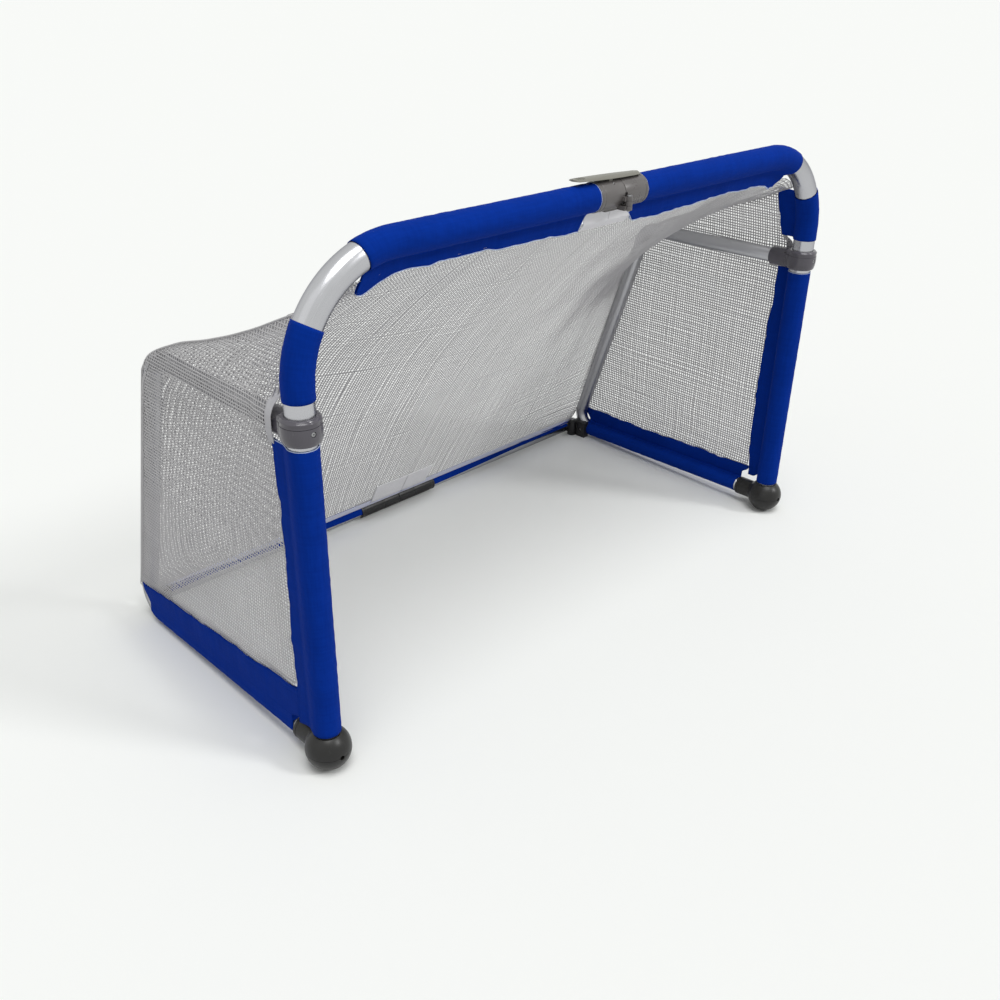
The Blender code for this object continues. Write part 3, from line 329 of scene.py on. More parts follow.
def points_at(wanted, places, points):
    """Points of a run at the wanted places, where its own points lie at places."""
    return np.stack([np.interp(wanted, places, points[:, k]) for k in range(3)], axis=1)


def evened(points, pitch):
    """The same run with its points a pitch apart."""
    points = np.asarray(points, float)
    far = distances(points)
    count = max(2, round(far[-1] / pitch))
    return points_at(np.linspace(0, far[-1], count + 1), far, points)


def half_angle(u, v):
    """Half the angle between two directions."""
    return acos(float(np.clip(u @ v, -1, 1))) / 2


def rounded(points, radius, steps):
    """A run of points with every inner corner rounded."""
    points = [np.array(p, float) for p in points]
    out = [points[0]]
    for before, corner, after in zip(points, points[1:], points[2:]):
        u, v = unit(before - corner), unit(after - corner)
        half = half_angle(u, v)
        centre = corner + unit(u + v) * radius / sin(half)
        reach = radius / tan(half)
        start, end = corner + u * reach - centre, corner + v * reach - centre
        turn = pi - 2 * half
        for k in range(steps + 1):
            w = k / steps
            out.append(centre + (start * sin((1 - w) * turn) + end * sin(w * turn)) / sin(turn))
    out.append(points[-1])
    return np.array(out)


def soft_profile(points, radius):
    """A profile with every corner off the axis rounded."""
    out = [points[0]]
    for before, corner, after in zip(points, points[1:], points[2:]):
        back, on = np.subtract(before, corner), np.subtract(after, corner)
        u, v = unit(back), unit(on)
        half = half_angle(u, v)
        if radians(20) < half < radians(80):
            bend = min(radius, 0.4 * min(np.linalg.norm(back), np.linalg.norm(on)) * tan(half))
            run = rounded([corner + u * bend * 3, corner, corner + v * bend * 3], bend, 4)
            out += [tuple(p) for p in run[1:-1]]
        else:
            out.append(corner)
    out.append(points[-1])
    return out


def frames(points, first):
    """Tangent and two cross directions at each point, carried along without twist."""
    tangent = unit(np.gradient(points, axis=0))
    a = np.zeros_like(points)
    now = np.asarray(first, float)
    for k, t in enumerate(tangent):
        now = unit(now - (now @ t) * t)
        a[k] = now
    return tangent, a, np.cross(tangent, a)


def circle(sides):
    """Angles of the points round a circle."""
    return np.arange(sides) / sides * 2 * pi


def rings(a, b, sides):
    """A circle of radius 1 across a run at each of its points."""
    turn = circle(sides)[:, None]
    return np.cos(turn) * a[:, None] + np.sin(turn) * b[:, None]


# Mesh helpers

def grid_faces(rows, columns, wrap_rows=False, wrap_columns=False, start=0):
    r = np.arange(rows if wrap_rows else rows - 1)
    c = np.arange(columns if wrap_columns else columns - 1)
    r0, c0 = np.meshgrid(r, c, indexing="ij")
    r1, c1 = (r0 + 1) % rows, (c0 + 1) % columns
    quads = np.stack([r0 * columns + c0, r1 * columns + c0, r1 * columns + c1, r0 * columns + c1], -1)
    return (quads.reshape(-1, 4) + start).tolist()


def grid_uv(rows_at, columns_at):
    """Corner pairs in metres for grid_faces, from the distances of its rows and columns."""
    u0, v0 = np.meshgrid(rows_at[:-1], columns_at[:-1], indexing="ij")
    u1, v1 = np.meshgrid(rows_at[1:], columns_at[1:], indexing="ij")
    corners = [np.stack(pair, -1) for pair in ((u0, v0), (u1, v0), (u1, v1), (u0, v1))]
    return np.stack(corners, -2).reshape(-1, 2) / 1000


def linked(name, mesh):
    piece = bpy.data.objects.new(name, mesh)
    bpy.context.scene.collection.objects.link(piece)
    return piece


def emit(name, points, faces, finish, uv):
    """A new object from points in millimetres. uv holds a pair in metres for each corner of each face."""
    mesh = bpy.data.meshes.new(name)
    mesh.from_pydata(real(points).tolist(), [], faces)
    mesh.materials.append(finish)
    layer = mesh.uv_layers.new(name="flat")
    layer.data.foreach_set("uv", np.asarray(uv, np.float32).ravel())
    mesh.shade_smooth()
    mesh.update()
    return linked(name, mesh)


def outward(piece, merge=False):
    """Turns a closed piece's faces outwards, after its doubles are merged where it has any."""
    bm = bmesh.new()
    bm.from_mesh(piece.data)
    if merge:
        bmesh.ops.remove_doubles(bm, verts=bm.verts, dist=0.000001)
    bmesh.ops.recalc_face_normals(bm, faces=bm.faces)
    bm.to_mesh(piece.data)
    bm.free()
    return piece


def baked(piece):
    """Turns a piece's modifiers into its mesh."""
    bpy.context.view_layer.update()
    graph = bpy.context.evaluated_depsgraph_get()
    mesh = bpy.data.meshes.new_from_object(piece.evaluated_get(graph))
    piece.modifiers.clear()
    old = piece.data
    piece.data = mesh
    bpy.data.meshes.remove(old)
    mesh.name = piece.name
    return piece


def dress(piece, body, slot, *nodes):
    """Puts a finished piece on its body, in place of the model's plain solids where it names any."""
    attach(piece, body)
    if nodes:
        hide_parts(*nodes)


def tube(name, line, radius, finish, sides=48):
    """An open-ended tube with its wall and softened ends."""
    lip = 0.35
    steep = abs(unit(line[1] - line[0])[2]) >= 0.9
    tangent, a, b = frames(line, (1, 0, 0.1) if steep else (0.1, 0.2, 1))
    ring = rings(a, b, sides)
    outer = line[:, None] + radius * ring
    inner = line[:, None] + (radius - WALL) * ring
    outer[0] += tangent[0] * lip
    outer[-1] -= tangent[-1] * lip
    mouths = [line[k] + (radius - lip) * ring[k] for k in (0, -1)]
    loops = [*outer, mouths[1], *inner[::-1], mouths[0]]
    far = distances(line)
    along = np.concatenate([far, [far[-1] + 1], far[::-1], [-1], far[:1]])
    around = np.append(circle(sides), 2 * pi) * radius
    faces = grid_faces(len(loops), sides, wrap_rows=True, wrap_columns=True)
    return outward(emit(name, np.concatenate(loops), faces, finish, grid_uv(along, around)), merge=True)


# Solids that are turned, joined and cut

def shape_mesh(points, faces):
    bm = bmesh.new()
    verts = [bm.verts.new(p) for p in points]
    for f in faces:
        bm.faces.new([verts[k] for k in f])
    bmesh.ops.recalc_face_normals(bm, faces=bm.faces)
    mesh = bpy.data.meshes.new("shape")
    bm.to_mesh(mesh)
    bm.free()
    return mesh


def turned(profile, sides=64):
    """A profile of (radius, height) points, from the axis back to the axis, turned about Z."""
    inner = profile[1:-1]
    points = [(0, 0, profile[0][1])]
    points += [(r * cos(t), r * sin(t), z) for r, z in inner for t in circle(sides)]
    points.append((0, 0, profile[-1][1]))
    faces = [f[::-1] for f in grid_faces(len(inner), sides, wrap_columns=True, start=1)]
    last = len(points) - 1
    row = 1 + (len(inner) - 1) * sides
    for k in range(sides):
        faces.append([0, 1 + k, 1 + (k + 1) % sides])
        faces.append([last, row + (k + 1) % sides, row + k])
    return shape_mesh(points, faces)


def rod(radius, low, high, edge, sides=64):
    return turned(soft_profile([(0, low), (radius, low), (radius, high), (0, high)], edge), sides)


def block(low, high, edge):
    low, high = Vector(low), Vector(high)
    size = high - low
    bm = bmesh.new()
    bmesh.ops.create_cube(bm, size=1, matrix=Matrix.Diagonal((*map(abs, size), 1)))
    bmesh.ops.translate(bm, verts=bm.verts, vec=(low + high) / 2)
    if edge:
        bmesh.ops.bevel(bm, geom=bm.edges, offset=edge, segments=2, affect="EDGES", profile=0.5)
    mesh = bpy.data.meshes.new("block")
    bm.to_mesh(mesh)
    bm.free()
    return mesh


def bar_along(line, radius, sides):
    """A solid round bar along a line."""
    line = np.asarray(line, float)
    a, b = frames(line, (0.3, 0.5, 0.8))[1:]
    points = line[:, None] + radius * rings(a, b, sides)
    faces = grid_faces(len(line), sides, wrap_columns=True)
    faces.append(list(range(sides)))
    faces.append(list(range((len(line) - 1) * sides, len(line) * sides))[::-1])
    return shape_mesh(points.reshape(-1, 3), faces)


def ring_cut(inner, outer, height):
    """A flat ring over Z = 0, for cutting grooves."""
    sides = 96
    loops = [(inner, 0), (outer, 0), (outer, height), (inner, height)]
    points = [(r * cos(t), r * sin(t), z) for r, z in loops for t in circle(sides)]
    return shape_mesh(points, grid_faces(4, sides, wrap_rows=True, wrap_columns=True))


def at(mesh, place, toward=None):
    """Moves a shape to its place, with its own Z turned to a direction."""
    turn = Vector(toward).to_track_quat("Z", "Y").to_matrix().to_4x4() if toward is not None else Matrix()
    mesh.transform(Matrix.Translation(place) @ turn)
    return mesh


def carved(name, finish, start, joined=(), cuts=(), grain=0.0):
    """A solid made of shapes that are joined and cut. With a grain the joined shapes first melt
    together at that size, which leaves moulded fillets between them."""
    piece = linked(name, start)
    helpers = []

    def combine(mesh, operation):
        helpers.append(linked("shape", mesh))
        step = piece.modifiers.new(operation, "BOOLEAN")
        step.operation = operation
        step.solver = "EXACT"
        step.object = helpers[-1]

    for mesh in joined:
        combine(mesh, "UNION")
    if grain:
        melt = piece.modifiers.new("melt", "REMESH")
        melt.mode = "VOXEL"
        melt.voxel_size = grain
        ease = piece.modifiers.new("ease", "SMOOTH")
        ease.factor = 0.5
        ease.iterations = 5
    for mesh in cuts:
        combine(mesh, "DIFFERENCE")
    baked(piece)
    for helper in helpers:
        mesh = helper.data
        bpy.data.objects.remove(helper)
        bpy.data.meshes.remove(mesh)
    piece.data.transform(Matrix.Translation((0, -MIDDLE_Y / 1000, 0)) @ Matrix.Scale(0.001, 4))
    piece.data.materials.clear()
    piece.data.materials.append(finish)
    piece.data.shade_smooth()
    piece.data.set_sharp_from_angle(angle=radians(38))
    return piece


# Tubes

def top_axis(y):
    """Height of the side tube's top run."""
    return TOP_Z - TOP_FALL * y / TOP_DEPTH


def ground_axis(y):
    """Height of the side tube's ground run."""
    return FOOT_Z + (REAR_CORNER_Z - FOOT_Z) * y / GROUND_DEPTH


def side_line(side, start, steps=14):
    x = side * SPAN
    return rounded([(x, start, top_axis(start)), (x, TOP_DEPTH, TOP_Z - TOP_FALL),
                    (x, GROUND_DEPTH, REAR_CORNER_Z), (x, start, ground_axis(start))], SIDE_BEND, steps)


def make_tubes(side):
    word, x = WORD[side], side * SPAN
    front = rounded([(x, 0, FOOT_FLOOR + GAP), (x, 0, CROSSBAR_Z),
                     (side * (HINGE_SOLID + GAP), 0, CROSSBAR_Z)], CORNER_BEND, 40)
    dress(tube(word + "_front_tube_skin", front, FRONT_R, ALUMINIUM, 64), "front_" + word, "aluminium",
          word + "_front_tube")
    dress(tube(word + "_side_tube_skin", side_line(side, SIDE_SEAT + GAP), SIDE_R, SIDE_ALUMINIUM),
          word + "_side", "side_aluminium", word + "_side_tube")
    bar = np.array([(side * x, BAR_Y, BAR_Z) for x in (PIVOT_X - 14, 12 + GAP)])
    dress(tube(word + "_rear_bar_skin", bar, REAR_R, ALUMINIUM), "rear_" + word, "aluminium",
          word + "_rear_bar")


# Moulded feet and collars

SCREW_Y = -25.0             # seat of the set screws in the front of the foot and the collar


def screw_hole():
    head, shank, depth = 3.8, 2.15, 8.5
    return turned([(0, 30), (head, 30), (head, 0), (shank, 0), (shank, -depth), (0, -depth)], 32)


def make_foot(side):
    word, x = WORD[side], side * SPAN
    fillet = 7.0
    # The fillet between the arm and the ball is a circle outside both, which touches them.
    reach = np.sqrt((FOOT_R + fillet) ** 2 - (FOOT_ARM_R + fillet) ** 2)
    ball_turn = atan2(FOOT_ARM_R + fillet, reach)
    profile = [(0, FOOT_ARM), (FOOT_ARM_R - 2.2, FOOT_ARM), (FOOT_ARM_R - 1.0, FOOT_ARM - 0.25),
               (FOOT_ARM_R - 0.25, FOOT_ARM - 1.0), (FOOT_ARM_R, FOOT_ARM - 2.2),
               (FOOT_ARM_R, FOOT_ARM - 6.0), (FOOT_ARM_R - 0.8, FOOT_ARM - 6.6),
               (FOOT_ARM_R - 0.8, FOOT_ARM - 8.0), (FOOT_ARM_R, FOOT_ARM - 8.6)]
    profile += [(FOOT_ARM_R + fillet + fillet * sin(t), reach + fillet * cos(t))
                for t in np.linspace(-pi / 2, ball_turn - pi, 7)]
    profile += [(FOOT_R * sin(t), FOOT_R * cos(t)) for t in np.linspace(ball_turn, pi, 34)[1:-1]]
    profile.append((0, -FOOT_R))
    ball = at(turned(profile, 80), (x, 0, FOOT_Z), Vector((0, GROUND_DEPTH, REAR_CORNER_Z - FOOT_Z)))
    cuts = [block((x - 90, -90, -60), (x + 90, 120, 0), 0),
            at(rod(FRONT_R + GAP, FOOT_FLOOR, 200, 0), (x, 0, 0)),
            bar_along([(x, y, ground_axis(y)) for y in (SIDE_SEAT, 100)], SIDE_R + GAP, 64),
            at(screw_hole(), (x, SCREW_Y, FOOT_Z), (0, -1, 0)),
            # parting line round the ball's middle
            at(ring_cut(FOOT_R - 0.7, FOOT_R + 2, 0.5), (x, 0, FOOT_Z - 0.25))]
    foot = carved(word + "_foot_skin", FOOT_PLASTIC, ball, (), cuts)
    dress(foot, word + "_side", "foot_plastic", word + "_foot")


def make_collar(side):
    word, x = WORD[side], side * SPAN
    middle = (x, 0, COLLAR_Z)
    barrel = [(COLLAR_R - 3.0 + 3.2 * (1 - (z / COLLAR_HALF) ** 2) ** 0.7, z)
              for z in np.linspace(COLLAR_HALF, -COLLAR_HALF, 13)]
    arm = soft_profile([(0, COLLAR_ARM), (COLLAR_ARM_R, COLLAR_ARM), (COLLAR_ARM_R, 8), (0, 8)], 2.4)
    band = soft_profile([(0, 9.5), (26.6, 9.5), (27.6, 15.5), (0, 15.5)], 0.8)
    joined = [at(turned(arm), (x, 0, TOP_Z), Vector((0, TOP_DEPTH, -TOP_FALL))),
              # clamp plate behind the barrel and rib under the arm
              at(block((-20.5, 15, -15), (20.5, 25, 16), 3.0), middle),
              at(block((-2.2, 22, -20.6), (2.2, 56, 4), 1.0), (x, 0, COLLAR_Z - 3)),
              at(turned(band), middle)]
    cuts = [at(rod(FRONT_R + GAP, -60, 60, 0), middle),
            bar_along([(x, y, top_axis(y)) for y in (SIDE_SEAT, 100)], SIDE_R + GAP, 64),
            at(ring_cut(26.2, 34, 0.8), (x, 0, COLLAR_Z + 7.6)),
            at(screw_hole(), (x, SCREW_Y, COLLAR_Z), (0, -1, 0))]
    barrel = at(turned([(0, COLLAR_HALF), *barrel, (0, -COLLAR_HALF)]), middle)
    dress(carved(word + "_collar_skin", COLLAR_PLASTIC, barrel, joined, cuts, grain=0.9), word + "_side",
          "collar_plastic", word + "_collar")


# Screws and pins

def headed(node, body, place, toward, head, shank, ease, sides, socket):
    """A pin or screw with its head over Z = 0. head and shank give radius and length, and socket the
    radius, floor and number of sides of the hole in the head."""
    (head_r, head_high), (shank_r, length), (socket_r, floor, socket_sides) = head, shank, socket
    profile = soft_profile([(0, head_high), (head_r, head_high), (head_r, 0), (shank_r, 0),
                            (shank_r, -length), (0, -length)], ease)
    dress(carved(node + "_skin", STEEL, at(turned(profile, sides), place, toward), (),
                 [at(rod(socket_r, floor, 5, 0, socket_sides), place, toward)]), body, "pin_steel", node)


def make_screws(side):
    """Set screws with a hexagon socket, one in the foot, collar and rear bracket."""
    word, x = WORD[side], side * SPAN
    seats = {"foot": ((x, SCREW_Y - GAP, FOOT_Z), (0, -1, 0)),
             "collar": ((x, SCREW_Y - GAP, COLLAR_Z), (0, -1, 0)),
             "bracket": ((side * (BRACKET_SCREW_X - GAP), BRACKET_SCREW_Y, BAR_Z), (-side, 0, 0))}
    for seat, (place, toward) in seats.items():
        headed(word + "_" + seat + "_screw", word + "_side", place, toward, head=(3.2, 1.5), shank=(2.0, 4.2),
               ease=0.4, sides=40, socket=(1.5, 0.3, 6))


def make_pins():
    headed("crossbar_hinge_pin", "front_left", (0, FRONT_PIVOT_Y, CROSSBAR_Z - 0.7), None, head=(4.3, 2.0),
           shank=(2.5, 22.0), ease=0.5, sides=40, socket=(1.1, 1.2, 24))
    dress(carved("lever_pin_skin", STEEL, at(rod(1.5, -8.0, 13.2, 0.3, 32), LEVER_PIN, (0, -1, 0))),
          "front_left", "pin_steel", "lever_pin")
    headed("rear_hinge_pin", "rear_left", (0, REAR_PIVOT_Y, REAR_STACK_TOP + GAP), None, head=(4.0, 2.0),
           shank=(2.2, 21.2), ease=0.5, sides=40, socket=(1.0, 1.2, 24))
    for side in SIDES:
        headed(WORD[side] + "_corner_pin", WORD[side] + "_side", (side * PIVOT_X, PIVOT_Y, BRACKET_TOP + GAP),
               None, head=(7.0, 2.5), shank=(4.0, 37.0), ease=0.6, sides=48, socket=(2.2, 1.6, 6))


# Crossbar hinge, lock lever and spring

FRONT_STACK_TOP, FRONT_STACK = -1.0, 20.0      # the knuckles' top, from the crossbar's axis, and their height
REAR_LEAF = 6.2
REAR_STACK = 3 * REAR_LEAF + 2 * GAP
REAR_STACK_TOP = BAR_Z - 1.5 * REAR_LEAF - GAP + REAR_STACK


def knuckle_spans(side, top, stack):
    """Heights of a half's knuckles: the left half has the outer two of three and the right the middle."""
    leaf = (stack - 2 * GAP) / 3
    low = top - stack
    starts = [low, low + 2 * (leaf + GAP)] if side < 0 else [low + leaf + GAP]
    return [(z, z + leaf) for z in starts]


def knuckles(side, top, stack, pin, radius, ease, root):
    """Shapes that join a half's knuckles to it, and those that make room for the other half's."""
    joined, cuts = [], []
    for low, high in knuckle_spans(side, top, stack):
        joined.append(at(rod(radius, low, high, ease, 40), pin))
        joined.append(at(block((0, pin[1], low), (side * 9, root, high), 0), (0, 0, pin[2])))
    for low, high in knuckle_spans(-side, top, stack):
        cuts.append(at(rod(radius + GAP, low - GAP, high + GAP, 0, 40), pin))
    return joined, cuts


def make_crossbar_hinge(side):
    word = WORD[side]
    profile = soft_profile([(0, GAP), (HINGE_R - 0.5, GAP), (HINGE_R, GAP + 1.6), (HINGE_R, HINGE_HALF - 9),
                            (HINGE_R - 0.5, HINGE_HALF - 8.4), (HINGE_R - 0.5, HINGE_HALF - 6),
                            (HINGE_R, HINGE_HALF - 5.4), (HINGE_R, HINGE_HALF), (0, HINGE_HALF)], 0.7)
    middle = (0, 0, CROSSBAR_Z)
    outer = (side, 0, 0)
    pin = (0, FRONT_PIVOT_Y, CROSSBAR_Z)
    joined, cuts = knuckles(side, FRONT_STACK_TOP, FRONT_STACK, pin, radius=5.5, ease=0.5, root=9 - HINGE_R)
    # moulded bead under the half, against the seam
    joined.append(at(block((side * 0.3, -9, -HINGE_R - 0.9), (side * 30, 9, -HINGE_R + 3), 0.9), middle))
    cuts.append(at(rod(2.8, -30, 30, 0, 32), pin))
    cuts.append(at(rod(FRONT_R + GAP, HINGE_SOLID, HINGE_HALF + 30, 0), middle, outer))
    if side < 0:
        # slots for the lever's ears, and holes for its pin and its spring
        for y in (5.0, -8.3):
            cuts.append(at(block((-6, y, -6), (6, y + 3.3, 30), 0), LEVER_PIN))
        cuts.append(at(rod(1.8, -5.3, 30, 0, 32), LEVER_PIN, (0, -1, 0)))
        cuts.append(at(rod(3.4, 14.5, 30, 0, 32), (SPRING_X, 0, CROSSBAR_Z)))
    # shallow recess at the seam, where the halves bear on each other
    cuts.append(at(block((0, -30, -4), (side * 3.2, -19.5, 6), 0), (0, 0, CROSSBAR_Z - 2)))
    start = at(turned(profile), middle, outer)
    half = carved("crossbar_hinge_" + word + "_skin", HINGE_GREY, start, joined, cuts)
    dress(half, "front_" + word, "hinge_grey", "crossbar_hinge_" + word)


def lever_under(x):
    """Height of the lever's underside above the hinge: it rises towards the end that is pressed."""
    share = max(0.0, (LEVER_END - x) / (LEVER_END - LEVER_START))
    return 0.6 + 5.6 * share ** 1.5


def make_lever():
    """A pressed shell, lens-shaped in plan, crowned along and across, over two ears."""
    rows, columns = 61, 21
    upper, lower = np.zeros((rows, columns, 3)), np.zeros((rows, columns, 3))
    for i, share in enumerate(np.linspace(0, 1, rows)):
        bulge = abs(sin(pi * share))
        x = LEVER_START + (LEVER_END - LEVER_START) * share
        fullness = 0.70 + 0.30 * min(1.0, bulge ** 0.38 + 0.02)
        half = LEVER_HALF * fullness * min(1.0, (bulge + 0.002) * 9) ** 0.5
        under = CROSSBAR_Z + HINGE_R + lever_under(x)
        for j, across in enumerate(-np.cos(np.linspace(0, pi, columns))):
            lower[i, j] = (x, half * across, under)
            upper[i, j] = (x, half * across, under + 0.5 + (2.5 + 1.5 * bulge) * (1 - abs(across) ** 3.2))
    points = np.concatenate([upper.reshape(-1, 3), lower.reshape(-1, 3)])
    size = rows * columns
    faces = grid_faces(rows, columns)
    faces += [[k + size for k in f[::-1]] for f in faces]
    edge = [(i, 0) for i in range(rows)] + [(rows - 1, j) for j in range(1, columns)]
    edge += [(i, columns - 1) for i in range(rows - 2, -1, -1)]
    edge += [(0, j) for j in range(columns - 2, 0, -1)]
    loop = [i * columns + j for i, j in edge]
    faces += [[k, m, m + size, k + size] for k, m in zip(loop, loop[1:] + loop[:1])]
    rise = CROSSBAR_Z + HINGE_R + lever_under(LEVER_PIN[0]) + 1.4 - LEVER_PIN[2]
    ears = [at(block((-4, y, -4), (4, y + 2.7, rise), 0.4), LEVER_PIN) for y in (5.3, -8.0)]
    cuts = [at(rod(1.8, -30, 30, 0, 32), LEVER_PIN, (0, 1, 0))]
    # four grooves leave three finger ridges at the end that is pressed
    groove_z = CROSSBAR_Z + HINGE_R + lever_under(-86) + 2.2
    for k in range(4):
        start, half = -90 + 4.2 * k, 7.5 - 0.7 * abs(k - 2)
        cuts.append(at(block((start, -half, 0), (start + 1.8, half, 9), 0), (0, 0, groove_z)))
    lever = carved("lock_lever_skin", LEVER_GREY, shape_mesh(points, faces), ears, cuts)
    dress(lever, "lock_lever", "lever_grey", "lock_lever")


def make_spring():
    coil_r, wire_r, turns = 2.5, 0.45, 4
    low = CROSSBAR_Z + 14.5 + 0.75
    high = CROSSBAR_Z + HINGE_R + lever_under(-26.5) - 1.35
    turn = np.linspace(0, turns * 2 * pi, 129)
    line = np.stack([SPRING_X + coil_r * np.cos(turn), coil_r * np.sin(turn), np.linspace(low, high, 129)], 1)
    dress(carved("lever_spring_skin", STEEL, bar_along(line, wire_r, 12)), "front_left", "pin_steel",
          "lever_spring")


# Rear corners and the rear hinge

LUG, EYE_HIGH, EYE_R, EYE_HOLE = 9.4, 19.6, 11.0, 4.3
BRACKET_TOP = 2 * LUG + EYE_HIGH + 2 * GAP
BRACKET_SCREW_X, BRACKET_SCREW_Y = 559.5, PIVOT_Y - 24.5
RIGHT_PLAY = 2.5            # extra room at the pivot where the linkage is left open


def make_rear_corner(side):
    word = WORD[side]
    corner = (side * PIVOT_X, PIVOT_Y, 0)
    eye = (side * PIVOT_X, PIVOT_Y, LUG + GAP + EYE_HIGH / 2)
    play = RIGHT_PLAY if side > 0 else 0
    room = EYE_R + 2 * GAP + play
    half = EYE_HIGH / 2
    web = block((side * 2, -38, 0), (side * 19, 0, BRACKET_TOP - GAP), 1.4)
    inner = block((side * 1.2, -34, 4), (side * 3.0, -15, BRACKET_TOP - 5), 0.7)
    bracket = carved(
        word + "_corner_bracket_skin", REAR_PLASTIC, at(rod(EYE_R, 0, BRACKET_TOP, 1.2), corner),
        [at(web, corner), at(inner, corner)],
        [at(rod(room, LUG, LUG + EYE_HIGH + 2 * GAP, 0), corner),
         bar_along(side_line(side, 300, 20), SIDE_R + GAP, 48),
         at(rod(EYE_HOLE, 1, 80, 0, 40), corner),
         at(screw_hole(), (side * BRACKET_SCREW_X, BRACKET_SCREW_Y, BAR_Z), (-side, 0, 0))])
    dress(bracket, word + "_side", "rear_plastic", word + "_corner_bracket")
    bar = (side * PIVOT_X, BAR_Y, BAR_Z)
    end = carved(
        word + "_rear_end_skin", REAR_PLASTIC, at(rod(EYE_R, -half, half, 0.8), eye),
        [at(rod(REAR_R, -2, 13.7, 0.8), bar, (-side, 0, 0)),
         at(block((side * 2, 0, -half), (-side * 13.7, 14, half), 0.6), eye),
         at(rod(10.6, 0, 32, 0.6), bar, (-side, 0, 0))],
        [at(rod(room, -30, -half, 0), eye), at(rod(room, half, 30, 0), eye),
         at(rod(EYE_HOLE + play, -30, 30, 0, 40), eye)])
    dress(end, "rear_" + word, "rear_plastic", word + "_rear_end")


def make_rear_hinge(side):
    word = WORD[side]
    r = 15.0
    profile = soft_profile([(0, GAP), (r - 0.6, GAP), (r, GAP + 1.4), (r, 40), (r - 0.5, 40.6),
                            (r - 0.5, 42.4), (r, 43), (r, 92), (r - 0.6, 93), (r - 0.6, 95), (r, 96),
                            (r, 100), (0, 100)], 0.6)
    middle = (0, BAR_Y, BAR_Z)
    outer = (side, 0, 0)
    pin = (0, REAR_PIVOT_Y, 0)
    joined, cuts = knuckles(side, REAR_STACK_TOP, REAR_STACK, pin, radius=5, ease=0.4, root=BAR_Y + 7.5)
    # two long ribs on the cover
    for z in (-5.5, 5.5):
        rib = block((side * 6, -r - 0.25, -0.8), (side * 88, -r + 3.2, 0.8), 0.5)
        joined.append(at(rib, (0, BAR_Y, BAR_Z + z)))
    cuts.append(at(rod(2.5, -30, 60, 0, 32), pin))
    cuts.append(at(rod(REAR_R + GAP, 12, 130, 0), middle, outer))
    start = at(turned(profile, 56), middle, outer)
    cover = carved("rear_hinge_" + word + "_skin", REAR_PLASTIC, start, joined, cuts)
    dress(cover, "rear_" + word, "rear_plastic", "rear_hinge_" + word)


# Cloth: each sleeve is one strip of cloth, folded round its tube and sewn into a two-layer flap

FLAP_ROWS = 12
FLAP_GAP, FLAP_SPREAD = 0.62, 1.5       # from the flap's middle to each layer, at its seam and at its edge
STITCH_SIZES = {"Pitch": 0.0036, "Stitch length": 0.0024, "Thread radius": 0.00028}


def ripple(along, waves, seed):
    """Gentle unevenness along a length: waves holds pairs of wavelength and height."""
    rng = np.random.default_rng(seed)
    total = np.zeros_like(along)
    for wavelength, height in waves:
        for share in (0.77, 1.0, 1.31):
            phase = rng.uniform(0, 2 * pi)
            total += height / 1.7 * np.sin(2 * pi * along / (wavelength * share) + phase)
    return total


def smoothstep(t):
    t = np.clip(t, 0, 1)
    return t * t * (3 - 2 * t)


def cloth_grid(name, grid, finish, thickness=0.6):
    """A sheet through a grid of points, with its thickness to both sides."""
    rows, columns = grid.shape[:2]
    uv = grid_uv(distances(grid.mean(1)), distances(grid[rows // 2]))
    piece = emit(name, grid.reshape(-1, 3), grid_faces(rows, columns), finish, uv)
    body = piece.modifiers.new("cloth", "SOLIDIFY")
    body.thickness = thickness / 1000
    body.offset = 0
    body.use_even_offset = True
    body.thickness_clamp = 1.0
    return baked(piece)


def ringed(name, sections, around, finish):
    """Cords in one mesh, each closed at its ends. sections holds each cord's line and its rings of
    points, and around the distances round one ring."""
    points, faces, uv, start = [], [], [], 0
    for line, ring in sections:
        count, sides = ring.shape[:2]
        points.append(ring.reshape(-1, 3))
        faces += grid_faces(count, sides, wrap_columns=True, start=start)
        last = start + (count - 1) * sides
        faces.append(list(range(start, start + sides)))
        faces.append(list(range(last, last + sides))[::-1])
        uv += [grid_uv(distances(line), around), np.zeros((2 * sides, 2))]
        start += count * sides
    return outward(emit(name, np.concatenate(points), faces, finish, np.concatenate(uv)))


def cords(name, lines, radius, finish, sides=8):
    """Round cords or piping along several lines."""
    sections = []
    for line in lines:
        way = unit(line[1] - line[0])
        first = np.cross(way, (0, 0, 1))
        if np.linalg.norm(first) <= 0.1:
            first = np.cross(way, (1, 0, 0))
        a, b = frames(line, unit(first))[1:]
        sections.append((line, line[:, None] + radius * rings(a, b, sides)))
    return ringed(name, sections, np.append(circle(sides), 2 * pi) * radius, finish)


